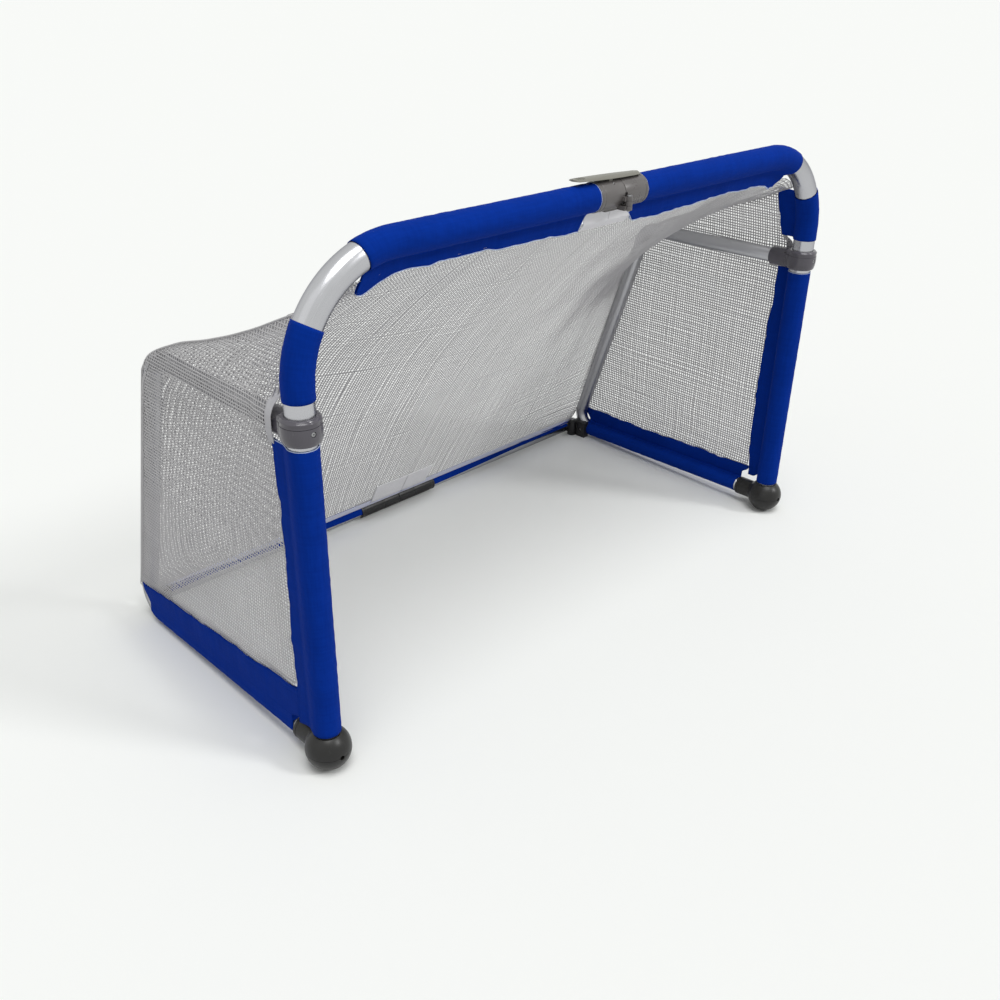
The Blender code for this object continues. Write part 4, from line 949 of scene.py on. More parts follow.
def stitch_tree():
    """Stitches along lines: a short rounded dash at every pitch, turned along the line."""
    tree = bpy.data.node_groups.new("stitches", "GeometryNodeTree")
    face = tree.interface
    face.new_socket("Lines", in_out="INPUT", socket_type="NodeSocketGeometry")
    for name, value in STITCH_SIZES.items():
        face.new_socket(name, in_out="INPUT", socket_type="NodeSocketFloat").default_value = value
    face.new_socket("Thread", in_out="INPUT", socket_type="NodeSocketMaterial")
    face.new_socket("Stitches", in_out="OUTPUT", socket_type="NodeSocketGeometry")
    nodes = Nodes(tree)

    def step(kind, settings=None, sockets=None):
        return nodes.node(kind, settings, sockets).outputs[0]

    given = nodes.node("NodeGroupInput").outputs
    curve = step("GeometryNodeMeshToCurve", {}, {"Mesh": given["Lines"]})
    even = step("GeometryNodeResampleCurve", {"mode": "LENGTH"}, {"Curve": curve, "Length": given["Pitch"]})
    along = step("GeometryNodeInputTangent")
    turn = step("FunctionNodeAlignRotationToVector", {"axis": "Z"}, {"Vector": along})
    dash = step("GeometryNodeMeshIcoSphere", {}, {"Subdivisions": 1, "Radius": 1.0})
    half = step("ShaderNodeMath", {"operation": "MULTIPLY"}, {0: given["Stitch length"], 1: 0.5})
    thick = given["Thread radius"]
    size = step("ShaderNodeCombineXYZ", {}, {"X": thick, "Y": thick, "Z": half})
    dashes = step("GeometryNodeInstanceOnPoints", {}, {
        "Points": even, "Instance": dash, "Rotation": turn, "Scale": size})
    smooth = step("GeometryNodeSetShadeSmooth", {}, {"Geometry": dashes})
    whole = step("GeometryNodeRealizeInstances", {}, {0: smooth})
    coloured = step("GeometryNodeSetMaterial", {}, {"Geometry": whole, "Material": given["Thread"]})
    nodes.node("NodeGroupOutput", {}, {0: coloured})
    return tree


STITCHES = stitch_tree()


def run_tree(name, tree, mesh, values):
    """Runs a tree on a mesh and returns the plain piece that comes out."""
    piece = linked(name, mesh)
    step = piece.modifiers.new("tree", "NODES")
    step.node_group = tree
    sockets = {s.name: s.identifier for s in tree.interface.items_tree if s.in_out == "INPUT"}
    for key, value in values.items():
        step[sockets[key]] = value
    return baked(piece)


def sewn(name, lines):
    """Stitches along lines, in one piece."""
    mesh = bpy.data.meshes.new(name + "_lines")
    points, edges = [], []
    for line in lines:
        start = len(points)
        points += real(line).tolist()
        edges += [(k, k + 1) for k in range(start, len(points) - 1)]
    mesh.from_pydata(points, edges, [])
    return run_tree(name, STITCHES, mesh, {**STITCH_SIZES, "Thread": THREAD})


def mean_size(grid, axis):
    """Mean length of a grid's lines along one of its two ways."""
    return np.linalg.norm(np.diff(grid, axis=axis), axis=2).sum(axis).mean()


class Sleeve:
    """A strip of cloth round a tube. Stations run along the tube; a section starts at the flap's edge,
    comes in along its outer layer, goes round the tube and back out along the inner layer."""

    def __init__(self, name, line, flap_way, out_way, tube_r, reach, seed, sway, out=0.0,
                 start_shift=None, end_shift=None):
        self.name = name
        line = evened(line, 4.0)
        far = np.linspace(0, run_length(line), len(line))
        flap = np.array([flap_way(p) for p in line])
        aside = np.array([out_way(p) for p in line])
        tangent = unit(np.gradient(line, axis=0))
        r = tube_r + 0.35 + CLOTH / 2
        seam = r + 4.0
        close = np.sqrt(seam ** 2 - out ** 2)
        lean, half = atan2(out, close), acos(r / seam)
        first, last = lean + half, lean - half + 2 * pi
        edge = reach(far) + ripple(far, [(95, 0.9), (31, 0.5)], seed)
        wave = ripple(far, [(150, sway), (62, sway * 0.45), (23, 0.25)], seed + 1)
        pucker = ripple(far, [(8.5, 0.16)], seed + 2)
        wander = 2.2 * ripple(far, [(120, 1.0)], seed + 3)
        slack = 0.35 + 0.65 * np.abs(ripple(far, [(75, 1.0)], seed + 4))

        def layer(side, angle):
            """One layer of the flap, from its edge in to the tube: place along the flap, place across
            it, and share of the flap that lies further in."""
            for t in np.linspace(1, 0, FLAP_ROWS + 1):
                gap = FLAP_GAP + (FLAP_SPREAD - FLAP_GAP) * smoothstep(t * 1.2)
                across = out + side * gap + wave * t ** 1.3 + side * pucker * (1 - t) * 1.2
                yield close + (edge - close) * t, across, t
            for t in (1 / 3, 2 / 3):
                across = out + side * FLAP_GAP * (1 - t) + (r * sin(angle) - out) * t
                yield close + (r * cos(angle) - close) * t + 0 * far, across + pucker * 0.5 * (1 - t), 0

        ring = []
        for angle in np.linspace(first, last, 40):
            gather = 0.25 + 0.25 * np.sin(2 * pi * (far / 26 + angle * 1.6) + wander)
            tight = 1 - 0.75 * abs(cos((angle - lean) / 2)) ** 6
            radius = r + 0.15 + gather * slack * tight
            ring.append((radius * cos(angle), radius * sin(angle), 0))
        order = [*layer(1, first), *ring, *list(layer(-1, last))[::-1]]
        grid = np.zeros((len(line), len(order), 3))
        for k, (u, v, t) in enumerate(order):
            grid[:, k] = line + flap * u[:, None] + aside * v[:, None]
            for shift, from_end, sign in ((start_shift, far, -1), (end_shift, far[-1] - far, 1)):
                if shift and t > 0:
                    near = smoothstep(1 - from_end / 70)
                    grid[:, k] += tangent * (sign * shift(u) * near)[:, None]
        self.grid = grid
        self.aside = aside

    def sew(self, body, hem, end_hem=False):
        """Makes the cloth over its tube, with its stitches and hems."""
        grid = self.grid
        cloth = cloth_grid(self.name + "_cloth", grid, BLUE_CLOTH, CLOTH)
        last = grid.shape[1] - 1
        seam = FLAP_ROWS - 2
        lines = [(grid[:, column] + self.aside * side * (CLOTH / 2 + 0.1))[1:-1]
                 for column, side in ((seam, 1), (2, 1), (last - seam, -1), (last - 2, -1))]
        extra = [sewn(self.name + "_stitching", lines),
                 cords(self.name + "_flap_hem", [grid[:, 0], grid[:, last]], 0.85, hem)]
        if end_hem:
            extra.append(cords(self.name + "_end_hem", [grid[-1]], 0.6, FLAP_TAPE))
        for piece in extra:
            dress(piece, body, "blue_cloth" if piece.data.materials[0] == BLUE_CLOTH else "net_white")
        dress(cloth, body, "blue_cloth", self.name)
        mean_size(grid, 1) / 1000
        mean_size(grid, 0) / 1000


def along_table(table):
    """A size that follows a table of places and values."""
    places, values = zip(*table)
    return lambda s: np.interp(s, places, values)


def bend_point(side, degrees):
    """A point on the axis of the upper front corner's bend."""
    turn = radians(degrees)
    return np.array([side * (SPAN - CORNER_BEND + CORNER_BEND * cos(turn)), 0,
                     CROSSBAR_Z - CORNER_BEND + CORNER_BEND * sin(turn)])


def bend_way(side, p):
    """Outward direction of the upper front corner at a point: up over the crossbar."""
    x = abs(p[0]) - (SPAN - CORNER_BEND)
    z = p[2] - (CROSSBAR_Z - CORNER_BEND)
    if x <= 0:
        return np.array([0, 0, 1.0])
    if z <= 0:
        return np.array([side, 0, 0.0])
    return unit([side * x, 0, z])


def always(*way):
    """A direction that is the same all along a sleeve."""
    return lambda p: np.array(way, float)


# How far each flap reaches from its tube's axis, by the distance along its sleeve. The crossbar's
# start at the outer end, the others' at the lower or front end.
CROSSBAR_REACH = {
    -1: along_table([(0, 50), (11, 56), (35, 57), (54, 51), (73, 45.4), (92, 42.5), (115, 45), (140, 43.5),
                     (176, 44.8), (213, 45.3), (252, 47.5), (311, 48), (375, 50.3), (425, 52.7)]),
    1: along_table([(0, 50), (30, 57), (54, 53), (86, 48.5), (122, 48.6), (182, 48), (239, 49), (292, 52),
                    (343, 55), (394, 55), (426, 54.7)])}
CORNER_REACH = {
    -1: along_table([(0, 38), (20, 35), (45, 30), (95, 26)]),
    1: along_table([(0, 47), (28, 56), (60, 61), (95, 58)])}
UPRIGHT_REACH = {
    -1: along_table([(0, 43), (84, 43), (182, 41), (266, 38), (374, 38), (411, 40), (439, 42), (462, 45)]),
    1: along_table([(0, 55), (48, 59), (118, 62), (210, 63), (301, 60), (387, 57), (462, 53)])}
GROUND_REACH = {
    -1: along_table([(0, 87), (24, 85), (79, 80), (137, 76), (197, 72), (261, 68), (328, 64), (420, 57),
                     (449, 41)]),
    1: along_table([(0, 43), (60, 44), (115, 44), (172, 45), (229, 42), (290, 43), (352, 45), (420, 46),
                    (449, 40)])}
CORNER_LOW, UPRIGHT_LOW, UPRIGHT_HIGH = 590.0, 66.4, 527.6
GROUND_FRONT, GROUND_BACK = 70.8, 488.0


def make_crossbar_sleeve(side):
    word = WORD[side]
    outer_end, outer_cut = {-1: (70, 17), 1: (64, -10)}[side]
    line = [bend_point(side, a) for a in np.linspace(outer_end, 90, 12)]
    line.append(np.array([side * (HINGE_HALF + 0.5), 0, CROSSBAR_Z]))

    def down(p):
        return cos(FLAP_LEAN) * -bend_way(side, p) + np.array([0, sin(FLAP_LEAN), 0])

    def ahead(p):
        return -cos(FLAP_LEAN) * np.array([0, 1.0, 0]) - sin(FLAP_LEAN) * bend_way(side, p)

    def beside_hinge(reach):
        # The left flap's lower corner stays back in a hollow cut, and the right one's runs under the hinge.
        if side < 0:
            return -11.5 * np.clip((reach - 25) / 27, 0, 1) ** 0.55
        return 19.5 - np.clip(reach - 25, 0, 60) * 0.94

    Sleeve(word + "_crossbar_sleeve", line, down, ahead, FRONT_R, CROSSBAR_REACH[side], 11 + side, sway=1.8,
           start_shift=lambda reach: outer_cut * smoothstep((reach - 26) / 24),
           end_shift=beside_hinge).sew("front_" + word, FLAP_TAPE, end_hem=True)


def make_corner_sleeve(side):
    word = WORD[side]
    line = [np.array([side * SPAN, 0, CORNER_LOW])] + [bend_point(side, a) for a in np.linspace(0, 30, 12)]
    Sleeve(word + "_corner_sleeve", line, always(0, 1, 0), lambda p: bend_way(side, p), FRONT_R,
           CORNER_REACH[side], 31 + side, sway=1.2).sew("front_" + word, BLUE_CLOTH)


def make_upright_sleeve(side):
    word = WORD[side]
    lower_cut = {-1: 3, 1: 9}[side]
    shape = Sleeve(word + "_upright_sleeve", [(side * SPAN, 0, z) for z in (UPRIGHT_LOW, UPRIGHT_HIGH)],
                   always(0, 1, 0), always(side, 0, 0), FRONT_R, UPRIGHT_REACH[side], 51 + side, sway=1.0,
                   out=15.4, start_shift=lambda reach: lower_cut * smoothstep((reach - 27) / 16))
    shape.sew(word + "_side", BLUE_CLOTH, end_hem=True)
    return shape


def make_ground_sleeve(side):
    """Sleeve of the ground run, on to 30 mm round the rear bend."""
    word = WORD[side]
    front_cut, rear_cut = {-1: (26, 17), 1: (14, 24)}[side]
    line = np.array([(side * SPAN, y, ground_axis(y)) for y in (GROUND_FRONT, GROUND_BACK)])
    bend = side_line(side, 40.0, 24)
    bend = bend[(bend[:, 1] > GROUND_BACK + 2) & (bend[:, 2] < 60.0)]
    bend = bend[np.argsort(bend[:, 2])]
    ahead = distances(np.vstack([line[-1:], bend]))[1:]
    shape = Sleeve(word + "_ground_sleeve", np.vstack([line, bend[ahead < 30.0]]), always(0, 0, 1),
                   always(side, 0, 0), SIDE_R, GROUND_REACH[side], 71 + side, sway=1.0, out=12.8,
                   start_shift=lambda reach: front_cut * smoothstep((reach - 26) / 12),
                   end_shift=lambda reach: rear_cut * smoothstep((reach - 13.5) / 18))
    shape.sew(word + "_side", BLUE_CLOTH)
    return shape


def make_rear_strip(side):
    """A narrow strip laid over the bar and folded into a short flap for the net's lower edge."""
    word = WORD[side]
    line = evened([(side * x, BAR_Y, BAR_Z) for x in (100.6, 539.6)], 4.0)
    far = np.linspace(0, run_length(line), len(line))
    up = np.array([0, -sin(NET_LEAN), cos(NET_LEAN)])
    back = np.array([0, cos(NET_LEAN), sin(NET_LEAN)])
    r = REAR_R + 0.3 + CLOTH / 2
    outward_share = far / far[-1]
    top = 16.5 + 7.5 * outward_share + ripple(far, [(110, 0.5), (37, 0.3)], 90 + side)
    wrap = radians(58) - radians(30) * smoothstep(outward_share * 1.3)
    wave = ripple(far, [(130, 0.5), (45, 0.3)], 92 + side)
    order = []
    for share in np.linspace(0, 1, 8):
        angle = wrap + (radians(13) - wrap) * share
        order.append((r * np.cos(angle), r * np.sin(angle), 0))
    for share in (0.0, 0.35, 0.7, 1.0):
        order.append((r + 2 + (top - r - 2) * share, 0.6 + wave * share, share))
    # the second layer is the first one's mirror image in the flap's wavy middle
    order += [(u, 2 * wave * share - v, share) for u, v, share in order[::-1]]
    grid = np.stack([line + u[:, None] * up + v[:, None] * back for u, v, share in order], 1)
    cloth = cloth_grid(word + "_rear_strip_cloth", grid, BLUE_CLOTH, CLOTH)
    seam = 9
    lines = [(grid[:, column] + back * lift)[1:-1] for column, lift in ((seam, 0.5), (-seam - 1, -0.5))]
    thread = sewn(word + "_rear_strip_stitching", lines)
    dress(thread, "rear_" + word, "net_white")
    dress(cloth, "rear_" + word, "blue_cloth", word + "_rear_strip")
    mean_size(grid, 1) / 1000


# Nets

STRAND_PITCH, STRAND_WIDTH, STRAND_DEPTH = 5.5, 2.6, 0.8
NET_TOP = 42.0              # how far below the crossbar's axis the net starts, inside the flap
NET_FOOT = 18.5             # how far up from the rear bar's axis it ends, inside the strip
BACK_START = SIDE_SEAT + GAP
SIDE_NET_X, LEAN_Z = 596.6, 563.0       # the side net's place, and the height where it starts to lean in
SEAM = np.array([(554.8, 27, 687), (561, 46, 679), (572, 97, 654), (581, 148, 633), (588, 205, 613),
                 (593, 260, 597), (595.2, 323, 571), (595.6, 352, 557), (595.0, 376, 541), (593.5, 391, 519)])
POST_TOP = np.array([SPAN, TOP_DEPTH, TOP_Z - TOP_FALL])
POST_WAY = unit(np.array([0, GROUND_DEPTH - TOP_DEPTH, REAR_CORNER_Z - POST_TOP[2]]))
POST_BACK = np.array([0, -POST_WAY[2], POST_WAY[1]])


def seam_line(side):
    """Seam between a side net and the back net: over the side tube, round its corner and down its rear."""
    off_axis = 11.8
    post = []
    for z in np.linspace(505, 60, 16):
        p = POST_TOP + POST_WAY * (z - POST_TOP[2]) / POST_WAY[2] + POST_BACK * off_axis
        p[0] = SPAN + off_axis
        post.append(p)
    line = evened(np.concatenate([SEAM, post]), 6.0)
    for _ in range(6):
        line[1:-1] = (line[:-2] + 2 * line[1:-1] + line[2:]) / 4
    line[:, 0] *= side
    return line


def strands(name, lines, normals):
    """Four-sided strands of net along many lines."""
    sections = []
    for line, normal in zip(lines, normals):
        tangent = unit(np.gradient(line, axis=0))
        across = unit(np.cross(tangent, normal))
        lift = np.cross(across, tangent) * STRAND_DEPTH / 2
        across = across * STRAND_WIDTH / 2
        sections.append((line, np.stack([line + across, line + lift, line - across, line - lift], 1)))
    return ringed(name, sections, np.arange(5) * 1.1, NET_YARN)


def push_off(points, line, radius, side):
    """Moves points that are inside a tube out to its surface."""
    a, b = line[:-1], line[1:]
    d = b - a
    flat = points.reshape(-1, 3)
    near = (flat[:, 2] > 10) & (flat[:, 0] * side > SPAN - 60)
    p = flat[near]
    t = np.clip(((p[:, None] - a) * d).sum(2) / (d * d).sum(1), 0, 1)
    q = a + t[..., None] * d
    away = p[:, None] - q
    distance = np.linalg.norm(away, axis=2)
    best = distance.argmin(1)
    row = np.arange(len(p))
    away, distance = away[row, best], distance[row, best]
    inside = distance < radius
    p[inside] = q[row, best][inside] + away[inside] / np.maximum(distance[inside], 0.01)[:, None] * radius
    flat[near] = p
    return flat.reshape(points.shape)


def back_top(side, columns):
    """Top edge of the back net: inside the crossbar's flap, then behind the bend down to the side net."""
    def in_flap(base):
        drop = bend_way(side, base) * NET_TOP * cos(FLAP_LEAN)
        return base - drop + (0, NET_TOP * sin(FLAP_LEAN) + 0.4, 0)

    def behind(degrees, inward, back):
        base = bend_point(side, degrees)
        return base - bend_way(side, base) * inward + (0, back, 0)

    top = [in_flap(np.array([side * x, 0, CROSSBAR_Z])) for x in (0.3, SPAN - CORNER_BEND)]
    top += [in_flap(bend_point(side, degrees)) for degrees in (84, 78, 72)]
    top += [behind(*stop) for stop in ((66, 32, 9), (60, 25, 6), (53, 22.7, 5), (45, 22, 7), (39, 18, 16),
                                       (33.02, 0, 27))]
    top = evened(top, 460 / columns)
    return points_at(np.linspace(0, 1, columns + 1), np.linspace(0, 1, len(top)), top)


def relaxed_back(side):
    """The back net's surface as a stretched sheet: each point settles between its neighbours."""
    columns, rows = 48, 84
    top = back_top(side, columns)
    low = np.array([0, BAR_Y - NET_FOOT * sin(NET_LEAN), BAR_Z + NET_FOOT * cos(NET_LEAN)])
    bottom = np.linspace(low + (side * 0.3, 0, 0), low + (side * 536, 0, 0), columns + 1)
    edge = evened(np.concatenate([top[-1:], seam_line(side)[1:], bottom[-1:]]), 5.0)
    # rows keep to their own share of the edge, so the seam's bend falls where the middle's line does
    share = np.linspace(0, 1, rows + 1)
    far = distances(edge)
    edge = points_at(share, far / far[-1], edge)
    u = np.linspace(0, 1, columns + 1)[:, None, None]
    v = share[None, :, None]
    middle = top[0] + (bottom[0] - top[0]) * share[:, None]
    grid = (1 - v) * top[:, None] + v * bottom[:, None] + (1 - u) * middle[None] + u * edge[None]
    grid -= (1 - u) * ((1 - v) * top[0] + v * bottom[0]) + u * ((1 - v) * top[-1] + v * bottom[-1])
    obstacle = side_line(side, BACK_START)
    for step in range(1500):
        grid[1:-1, 1:-1] = (grid[2:, 1:-1] + grid[:-2, 1:-1] + grid[1:-1, 2:] + grid[1:-1, :-2]) / 4
        # the middle edge may slide in its plane, because the other half of the net continues it
        grid[0, 1:-1, 1:] = (2 * grid[1, 1:-1, 1:] + grid[0, 2:, 1:] + grid[0, :-2, 1:]) / 4
        if step % 10 == 9 or step > 1480:
            grid[1:-1, 1:-1] = push_off(grid[1:-1, 1:-1].copy(), obstacle, SIDE_R + 2.2, side)
    return grid


def surface_normals(grid):
    return unit(np.cross(np.gradient(grid, axis=0), np.gradient(grid, axis=1)))


def sampled(grid, u, v):
    """Points of a grid at shares u and v, straight between its own points."""
    columns, rows = grid.shape[0] - 1, grid.shape[1] - 1
    x = np.clip(np.asarray(u) * columns, 0, columns - 1e-6)
    y = np.clip(np.asarray(v) * rows, 0, rows - 1e-6)
    i, j = x.astype(int), y.astype(int)
    a, b = (x - i)[..., None], (y - j)[..., None]
    return (grid[i, j] * (1 - a) * (1 - b) + grid[i + 1, j] * a * (1 - b)
            + grid[i, j + 1] * (1 - a) * b + grid[i + 1, j + 1] * a * b)


def sag(u, v, side):
    """Slack of the net away from its edges: long soft folds that run down from the corner and the bar."""
    edge = np.minimum(1, 12 * (1 - u)) * smoothstep(5 * u)
    edge = edge * np.minimum(1, 14 * v) * np.minimum(1, 10 * (1 - v))
    fold = (np.sin(2 * pi * (u * 3.1 + v * 0.7) + 0.6 * side) * 0.45
            + np.sin(2 * pi * (u * 5.3 - v * 1.9) + 1.9) * 0.28
            + np.sin(2 * pi * (u * 1.2 + v * 4.3) + 0.4) * 0.30)
    return 1.5 * edge * fold


def corner_crumple(u, v, side):
    """Gathered folds where the net turns round the upper front corner."""
    near = np.exp(-(((1 - u) / 0.13) ** 2 + (v / 0.10) ** 2))
    fan = np.sin(np.arctan2(v + 0.01, 1.03 - u) * 22 + side)
    edge = np.minimum(1, 40 * (1 - u)) * np.minimum(1, 50 * v)
    return 3.0 * near * fan * edge


def make_hinge_patch(side, grid, normal, length):
    """Plain cloth that closes the net between the two crossbar sleeves, below the hinge."""
    rows = []
    top_edge = 554.0            # length of the net's top edge
    for reach in np.linspace(24.6, 61, 24):
        if side < 0:
            outer = 58 - 6 * smoothstep((reach - 30) / 30)
        else:
            outer = 36 + 20 * smoothstep((reach - 24) / 24)
        x = np.linspace(0.4, outer, 26)
        y, z = reach * sin(FLAP_LEAN), CROSSBAR_Z - reach * cos(FLAP_LEAN)
        row = np.stack([side * x, y + 0 * x, z + 0 * x], 1)
        if reach > NET_TOP - 6:
            u, v = x / top_edge, max(reach - NET_TOP, 0) / length + 0 * x
            on_net = sampled(grid, u, v) - sampled(normal, u, v) * 1.3
            on_net[:, 0] = side * x
            blend = 1.0 if reach > NET_TOP + 3 else smoothstep((reach - NET_TOP + 6) / 9)
            row = row + (on_net - row) * blend
        rows.append(row)
    rows = np.array(rows)
    puff = np.abs(ripple(rows[0, :, 0], [(38, 0.5)], 140 + side))
    rows[2:-2] -= normal[0, 0] * puff[None, :, None] * 0.8
    return cloth_grid(WORD[side] + "_hinge_patch", rows, WHITE_CLOTH)


def back_strands(side, grid, normal, width, length):
    """Lines of the back net's strands down and across it, with the surface's normals along them."""
    count_u, count_v = round(width / STRAND_PITCH), round(length / STRAND_PITCH)
    rng, shared = np.random.default_rng(7 + side), np.random.default_rng(7)
    down = np.linspace(0, 1, round(length / 21) + 1)
    across = np.linspace(0, 1, round(width / 21) + 1)
    places = []
    for k in range(count_u + 1):
        u = min(1.0, (k + 0.5 + rng.normal(0, 0.05)) / count_u) if k < count_u else 1.0
        drift = np.interp(down, np.linspace(0, 1, 9), rng.normal(0, 0.10, 9)) / count_u
        places.append((np.clip(u + drift * (0 < k < count_u - 1), 0, 1), down))
    # both halves share the places across, so their strands meet in the middle
    for k in range(count_v + 1):
        v = np.clip((k + shared.normal(0, 0.05)) / count_v, 0, 1)
        drift = np.interp(across, np.linspace(0, 1, 7), rng.normal(0, 0.10, 7)) / count_v
        places.append((across, np.clip(v + drift * smoothstep(6 * across) * (0 < k < count_v), 0, 1)))
    return [sampled(grid, u, v) for u, v in places], [sampled(normal, u, v) for u, v in places]


def make_back_net(side):
    word = WORD[side]
    grid = relaxed_back(side)
    width = run_length(grid[:, grid.shape[1] // 2])
    length = run_length(grid[0])
    u, v = np.meshgrid(*(np.linspace(0, 1, count) for count in grid.shape[:2]), indexing="ij")
    normal = surface_normals(grid)
    if normal[..., 1].mean() < 0:
        normal = -normal
    grid = grid + normal * (sag(u, v, side) + corner_crumple(u, v, side))[..., None]
    grid = push_off(grid, side_line(side, BACK_START), SIDE_R + 1.9, side)
    net = strands(word + "_back_net_yarn", *back_strands(side, grid, normal, width, length))

    def patch(name, u_range, v_range, lift, finish, thickness):
        uu, vv = np.meshgrid(np.linspace(*u_range, 26), np.linspace(*v_range, 22), indexing="ij")
        return cloth_grid(name, sampled(grid, uu, vv) - sampled(normal, uu, vv) * lift, finish, thickness)

    hem_high, patch_high, patch_wide = 16 / length, 66 / length, {-1: 92, 1: 78}[side] / width
    extra = [make_hinge_patch(side, grid, normal, length),
             patch(word + "_net_hem", (0.0006, 0.998), (1 - hem_high, 0.9995), 1.5, HEM_TAPE, 0.7),
             patch(word + "_rear_patch", (0.0006, patch_wide), (1 - patch_high, 1 - hem_high * 0.6), 2.3,
                   WHITE_CLOTH, 0.6)]
    for piece in [net, *extra]:
        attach(piece, "front_" + word)
        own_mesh(piece)
    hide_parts(word + "_back_net")


def crossings(polygon, axis, value):
    """Where a line of constant Y or Z crosses a closed outline, in order along it."""
    hits = []
    for a, b in zip(polygon, np.roll(polygon, -1, axis=0)):
        low, high = sorted((a[axis], b[axis]))
        if low <= value < high:
            t = (value - a[axis]) / (b[axis] - a[axis])
            hits.append(a[1 - axis] + t * (b[1 - axis] - a[1 - axis]))
    return sorted(hits)


def side_outline(side, seam):
    """The side net's outline in Y and Z: along the ground flap, up the seam and down the front. Its front
    part is given alone too, for the tape that edges it."""
    inset = 4                   # the net goes this far in from a flap's edge
    bottom = [(y, ground_axis(y) + GROUND_REACH[side](y - GROUND_FRONT) - inset)
              for y in np.linspace(75, GROUND_BACK, 30)]
    rear = [(522, 58), (seam[-1, 1] - 1, seam[-1, 2] + 1)]
    front = [(60, {-1: 120, 1: 78}[side])]
    front += [(UPRIGHT_REACH[side](z - UPRIGHT_LOW) - inset, z) for z in np.linspace(140, 500, 12)]
    front += [(40, 522), (36, 534), (34.5, 552), (34.5, 576)]
    front += [(max(25.5, CORNER_REACH[side](s) - inset), z)
              for s, z in ((5, 594), (25, 614), (45, 634), (65, 652), (85, 670))]
    return np.array(bottom + rear + seam[::-1, 1:].tolist() + front[::-1]), front


def side_surface(side, seam, upper, lower):
    """A function that gives the side net's point for a place in Y and Z. upper and lower are the middles
    of the flaps of the upright and of the ground run."""
    top_x, top_y, top_z = np.abs(seam[:, 0]), seam[:, 1], seam[:, 2]
    rising_y = np.maximum.accumulate(top_y)

    def place(y, z):
        y, z = np.asarray(y, float), np.asarray(z, float)
        # over the side tube the net leans in to its seam
        z_top, x_top = np.interp(y, rising_y, top_z), np.interp(y, rising_y, top_x)
        share = np.clip((z - LEAN_Z) / np.maximum(z_top - LEAN_Z, 6), 0, 1)
        x = SIDE_NET_X - (SIDE_NET_X - x_top) * np.where(z_top > 566, share ** 1.25, 0)
        # and beside the rear post
        post_y = np.interp(-z, -top_z, top_y)
        x = x - 4.6 * (np.clip(1 - (post_y - y) / 16, 0, 1) * (z < 535)) ** 1.5
        # at the upper front it comes in to the corner sleeve's flap, and it passes outside the collar
        high = np.clip(z - (CROSSBAR_Z - CORNER_BEND), 0, 120)
        tube_x = SPAN - CORNER_BEND + np.sqrt(CORNER_BEND ** 2 - high ** 2)
        x = x + (tube_x - x) * smoothstep((64 - y) / 30) * smoothstep((z - 576) / 16)
        x = x + 4.2 * np.exp(-((z - COLLAR_Z) / 21.0) ** 4) * smoothstep((92 - y) / 24)
        # soft swells between the edges
        inner = np.clip((y - 60) / 40, 0, 1) * np.clip((post_y - 18 - y) / 50, 0, 1)
        inner = inner * np.clip((z - ground_axis(y) - 90) / 50, 0, 1) * np.clip((535 - z) / 60, 0, 1)
        swell = 3.2 * np.sin(y / 58 + 0.7 * side) * np.sin(z / 71 + 0.4)
        x = x + inner * (swell - 2.4 * np.sin(y / 150) * np.sin(z / 170))
        # between the two layers of each flap, and close to their middle a little beyond
        in_lower = smoothstep(1 - (z - np.interp(y, lower[:, 1], lower[:, 2])) / 24)
        in_upper = smoothstep(1 - (y - np.interp(z, upper[:, 2], upper[:, 1])) / 24)
        in_upper = in_upper * smoothstep((530 - z) / 24)
        middle = np.interp(y, lower[:, 1], np.abs(lower[:, 0])) * in_lower
        middle = middle + np.interp(z, upper[:, 2], np.abs(upper[:, 0])) * in_upper
        middle = middle / np.maximum(in_lower + in_upper, 1e-6)
        x = x + (middle - x) * np.minimum(in_lower + in_upper, 1)
        return np.stack([side * x, y, z], -1)

    return place


def make_side_net(side, upright_sleeve, ground_sleeve):
    word = WORD[side]
    seam = seam_line(side)
    upper, lower = ((shape.grid[:, 0] + shape.grid[:, -1]) / 2 for shape in (upright_sleeve, ground_sleeve))
    outline, front = side_outline(side, seam)
    place = side_surface(side, seam, upper, lower[np.argsort(lower[:, 1])])
    rng = np.random.default_rng(17 + side)
    lines = []
    for axis in (0, 1):
        low, high = outline[:, axis].min(), outline[:, axis].max()
        for value in np.arange(low + 2.0, high - 1.0, STRAND_PITCH):
            value = value + rng.normal(0, 0.25)
            hits = crossings(outline, axis, value)
            for start, end in zip(hits[::2], hits[1::2]):
                if end - start < 4:
                    continue
                run = np.linspace(start, end, max(2, round((end - start) / 20)) + 1)
                drift = value + np.interp(run, np.linspace(start, end, 7), rng.normal(0, 0.35, 7))
                lines.append(place(drift, run) if axis == 0 else place(run, drift))
    normals = [np.tile((side, 0.0, 0.001), (len(line), 1)) for line in lines]
    net = strands(word + "_side_net_yarn", lines, normals)
    cord = cords(word + "_net_seam", [seam[:-1]], 1.2, NET_YARN, 10)
    edge = evened([(y, z, 0) for y, z in front if 515 < z < 595], 5.0)
    rows = [place(y + np.linspace(-1.0, 13, 8), z + np.zeros(8)) + (side * 1.0, 0, 0) for y, z, _ in edge]
    tape = cloth_grid(word + "_net_tape", np.array(rows), NET_TAPE)
    for piece in (net, cord, tape):
        dress(piece, word + "_side", "net_white")
    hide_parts(word + "_side_net")
    y, z = outline[:, 0], outline[:, 1]
    area = abs(np.dot(y, np.roll(z, -1)) - np.dot(z, np.roll(y, -1))) / 2
    np.ptp(y) / 1000
    np.ptp(z) / 1000


# The whole goal

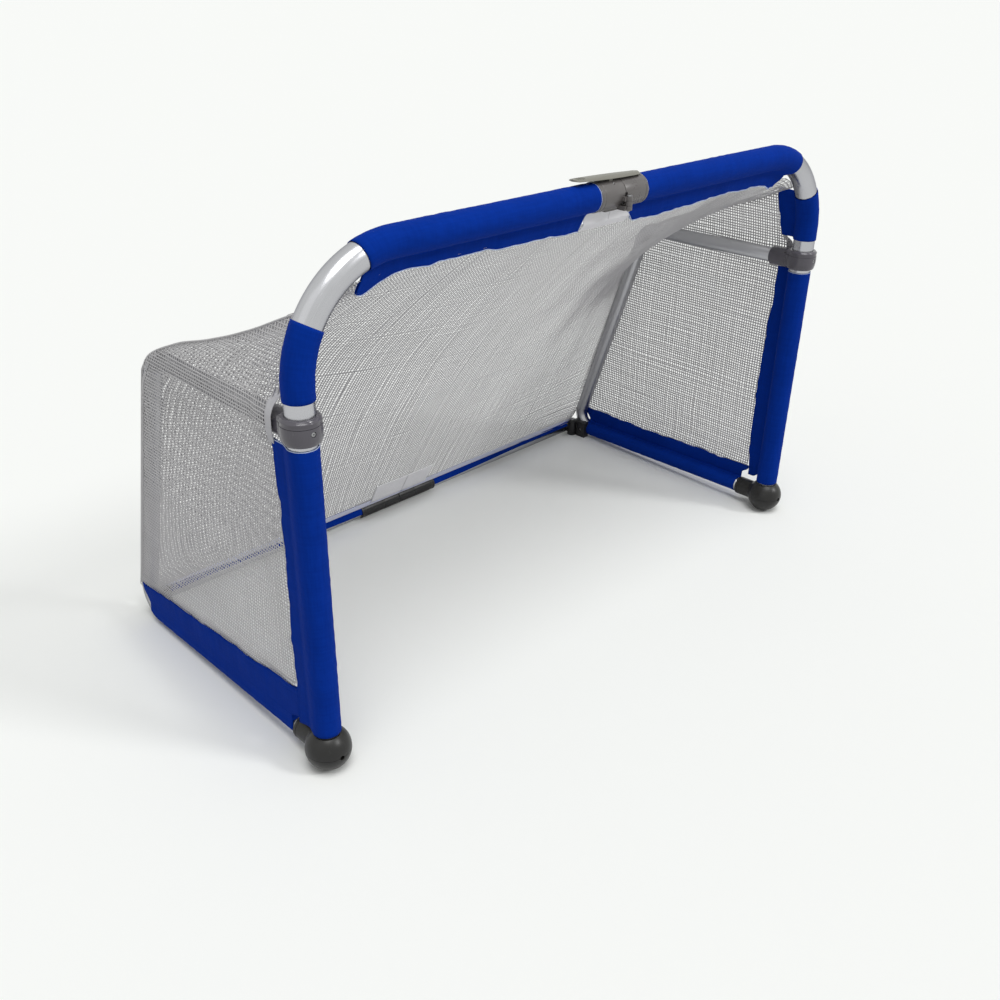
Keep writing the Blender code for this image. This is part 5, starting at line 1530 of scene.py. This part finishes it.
for side in SIDES:
    make_tubes(side)
    make_foot(side)
    make_collar(side)
    make_screws(side)
    make_crossbar_hinge(side)
    make_rear_corner(side)
    make_rear_hinge(side)
    make_crossbar_sleeve(side)
    make_corner_sleeve(side)
    upright_sleeve = make_upright_sleeve(side)
    ground_sleeve = make_ground_sleeve(side)
    make_rear_strip(side)
    make_back_net(side)
    make_side_net(side, upright_sleeve, ground_sleeve)
make_pins()
make_lever()
make_spring()


# Floor, light and camera

def make_floor():
    size = 40.0
    mesh = bpy.data.meshes.new("floor")
    corners = [(-size, -size, 0), (size, -size, 0), (size, size, 0), (-size, size, 0)]
    mesh.from_pydata(corners, [], [(0, 1, 2, 3)])
    finish = Finish("pale_floor", (0.5, 0.5, 0.5), 0.95, **{"Specular IOR Level": 0.0})
    finish.paint(finish.mixed(finish.looked_at(), (0.60, 0.60, 0.60), (0.935, 0.95, 0.928)))
    mesh.materials.append(finish.material)
    linked("floor", mesh)


def make_world():
    world = bpy.data.worlds.new("studio")
    bpy.context.scene.world = world
    world.use_nodes = True
    nodes = Nodes(world.node_tree)
    light, backdrop = (
        nodes.node("ShaderNodeBackground", {}, {"Color": colour, "Strength": strength}).outputs[0]
        for colour, strength in (((1, 1, 1, 1), 0.38), ((0.94, 0.955, 0.93, 1), 1.0)))
    mix = nodes.node("ShaderNodeMixShader", {}, {0: nodes.looked_at(), 1: light, 2: backdrop})
    nodes.node("ShaderNodeOutputWorld", {}, {"Surface": mix.outputs[0]})


def make_sun(name, toward, strength, spread):
    """A soft distant lamp that shines along a direction."""
    lamp = bpy.data.lights.new(name, "SUN")
    lamp.energy = strength
    lamp.angle = radians(spread)
    linked(name, lamp).rotation_euler = Vector(toward).to_track_quat("-Z", "Y").to_euler()


def make_camera():
    """The photograph's camera. Its sensor is 36 mm wide."""
    yaw, pitch, roll = radians(44.69), radians(-28.72), radians(0.95)
    forward = np.array([sin(yaw) * cos(pitch), cos(yaw) * cos(pitch), sin(pitch)])
    right = np.array([cos(yaw), -sin(yaw), 0])
    up = np.cross(right, forward)
    right, up = cos(roll) * right + sin(roll) * up, cos(roll) * up - sin(roll) * right
    place = real((-1219.3, -999.6, 1090.5))
    data = bpy.data.cameras.new("camera")
    data.sensor_width = 36
    data.lens = 36 * 1.0277
    camera = linked("camera", data)
    columns = np.stack([right, up, -forward, place], 1)
    camera.matrix_world = Matrix([*columns.tolist(), [0, 0, 0, 1]])
    bpy.context.scene.camera = camera


make_floor()
make_world()
make_sun("top", (0.12, 0.28, -1.0), strength=1.43, spread=34)
make_sun("key", (-0.45, 0.75, -0.65), strength=0.90, spread=12)
make_sun("fill", (0.85, 0.05, -0.55), strength=0.12, spread=50)
make_camera()
bpy.context.scene.view_settings.view_transform = "Standard"
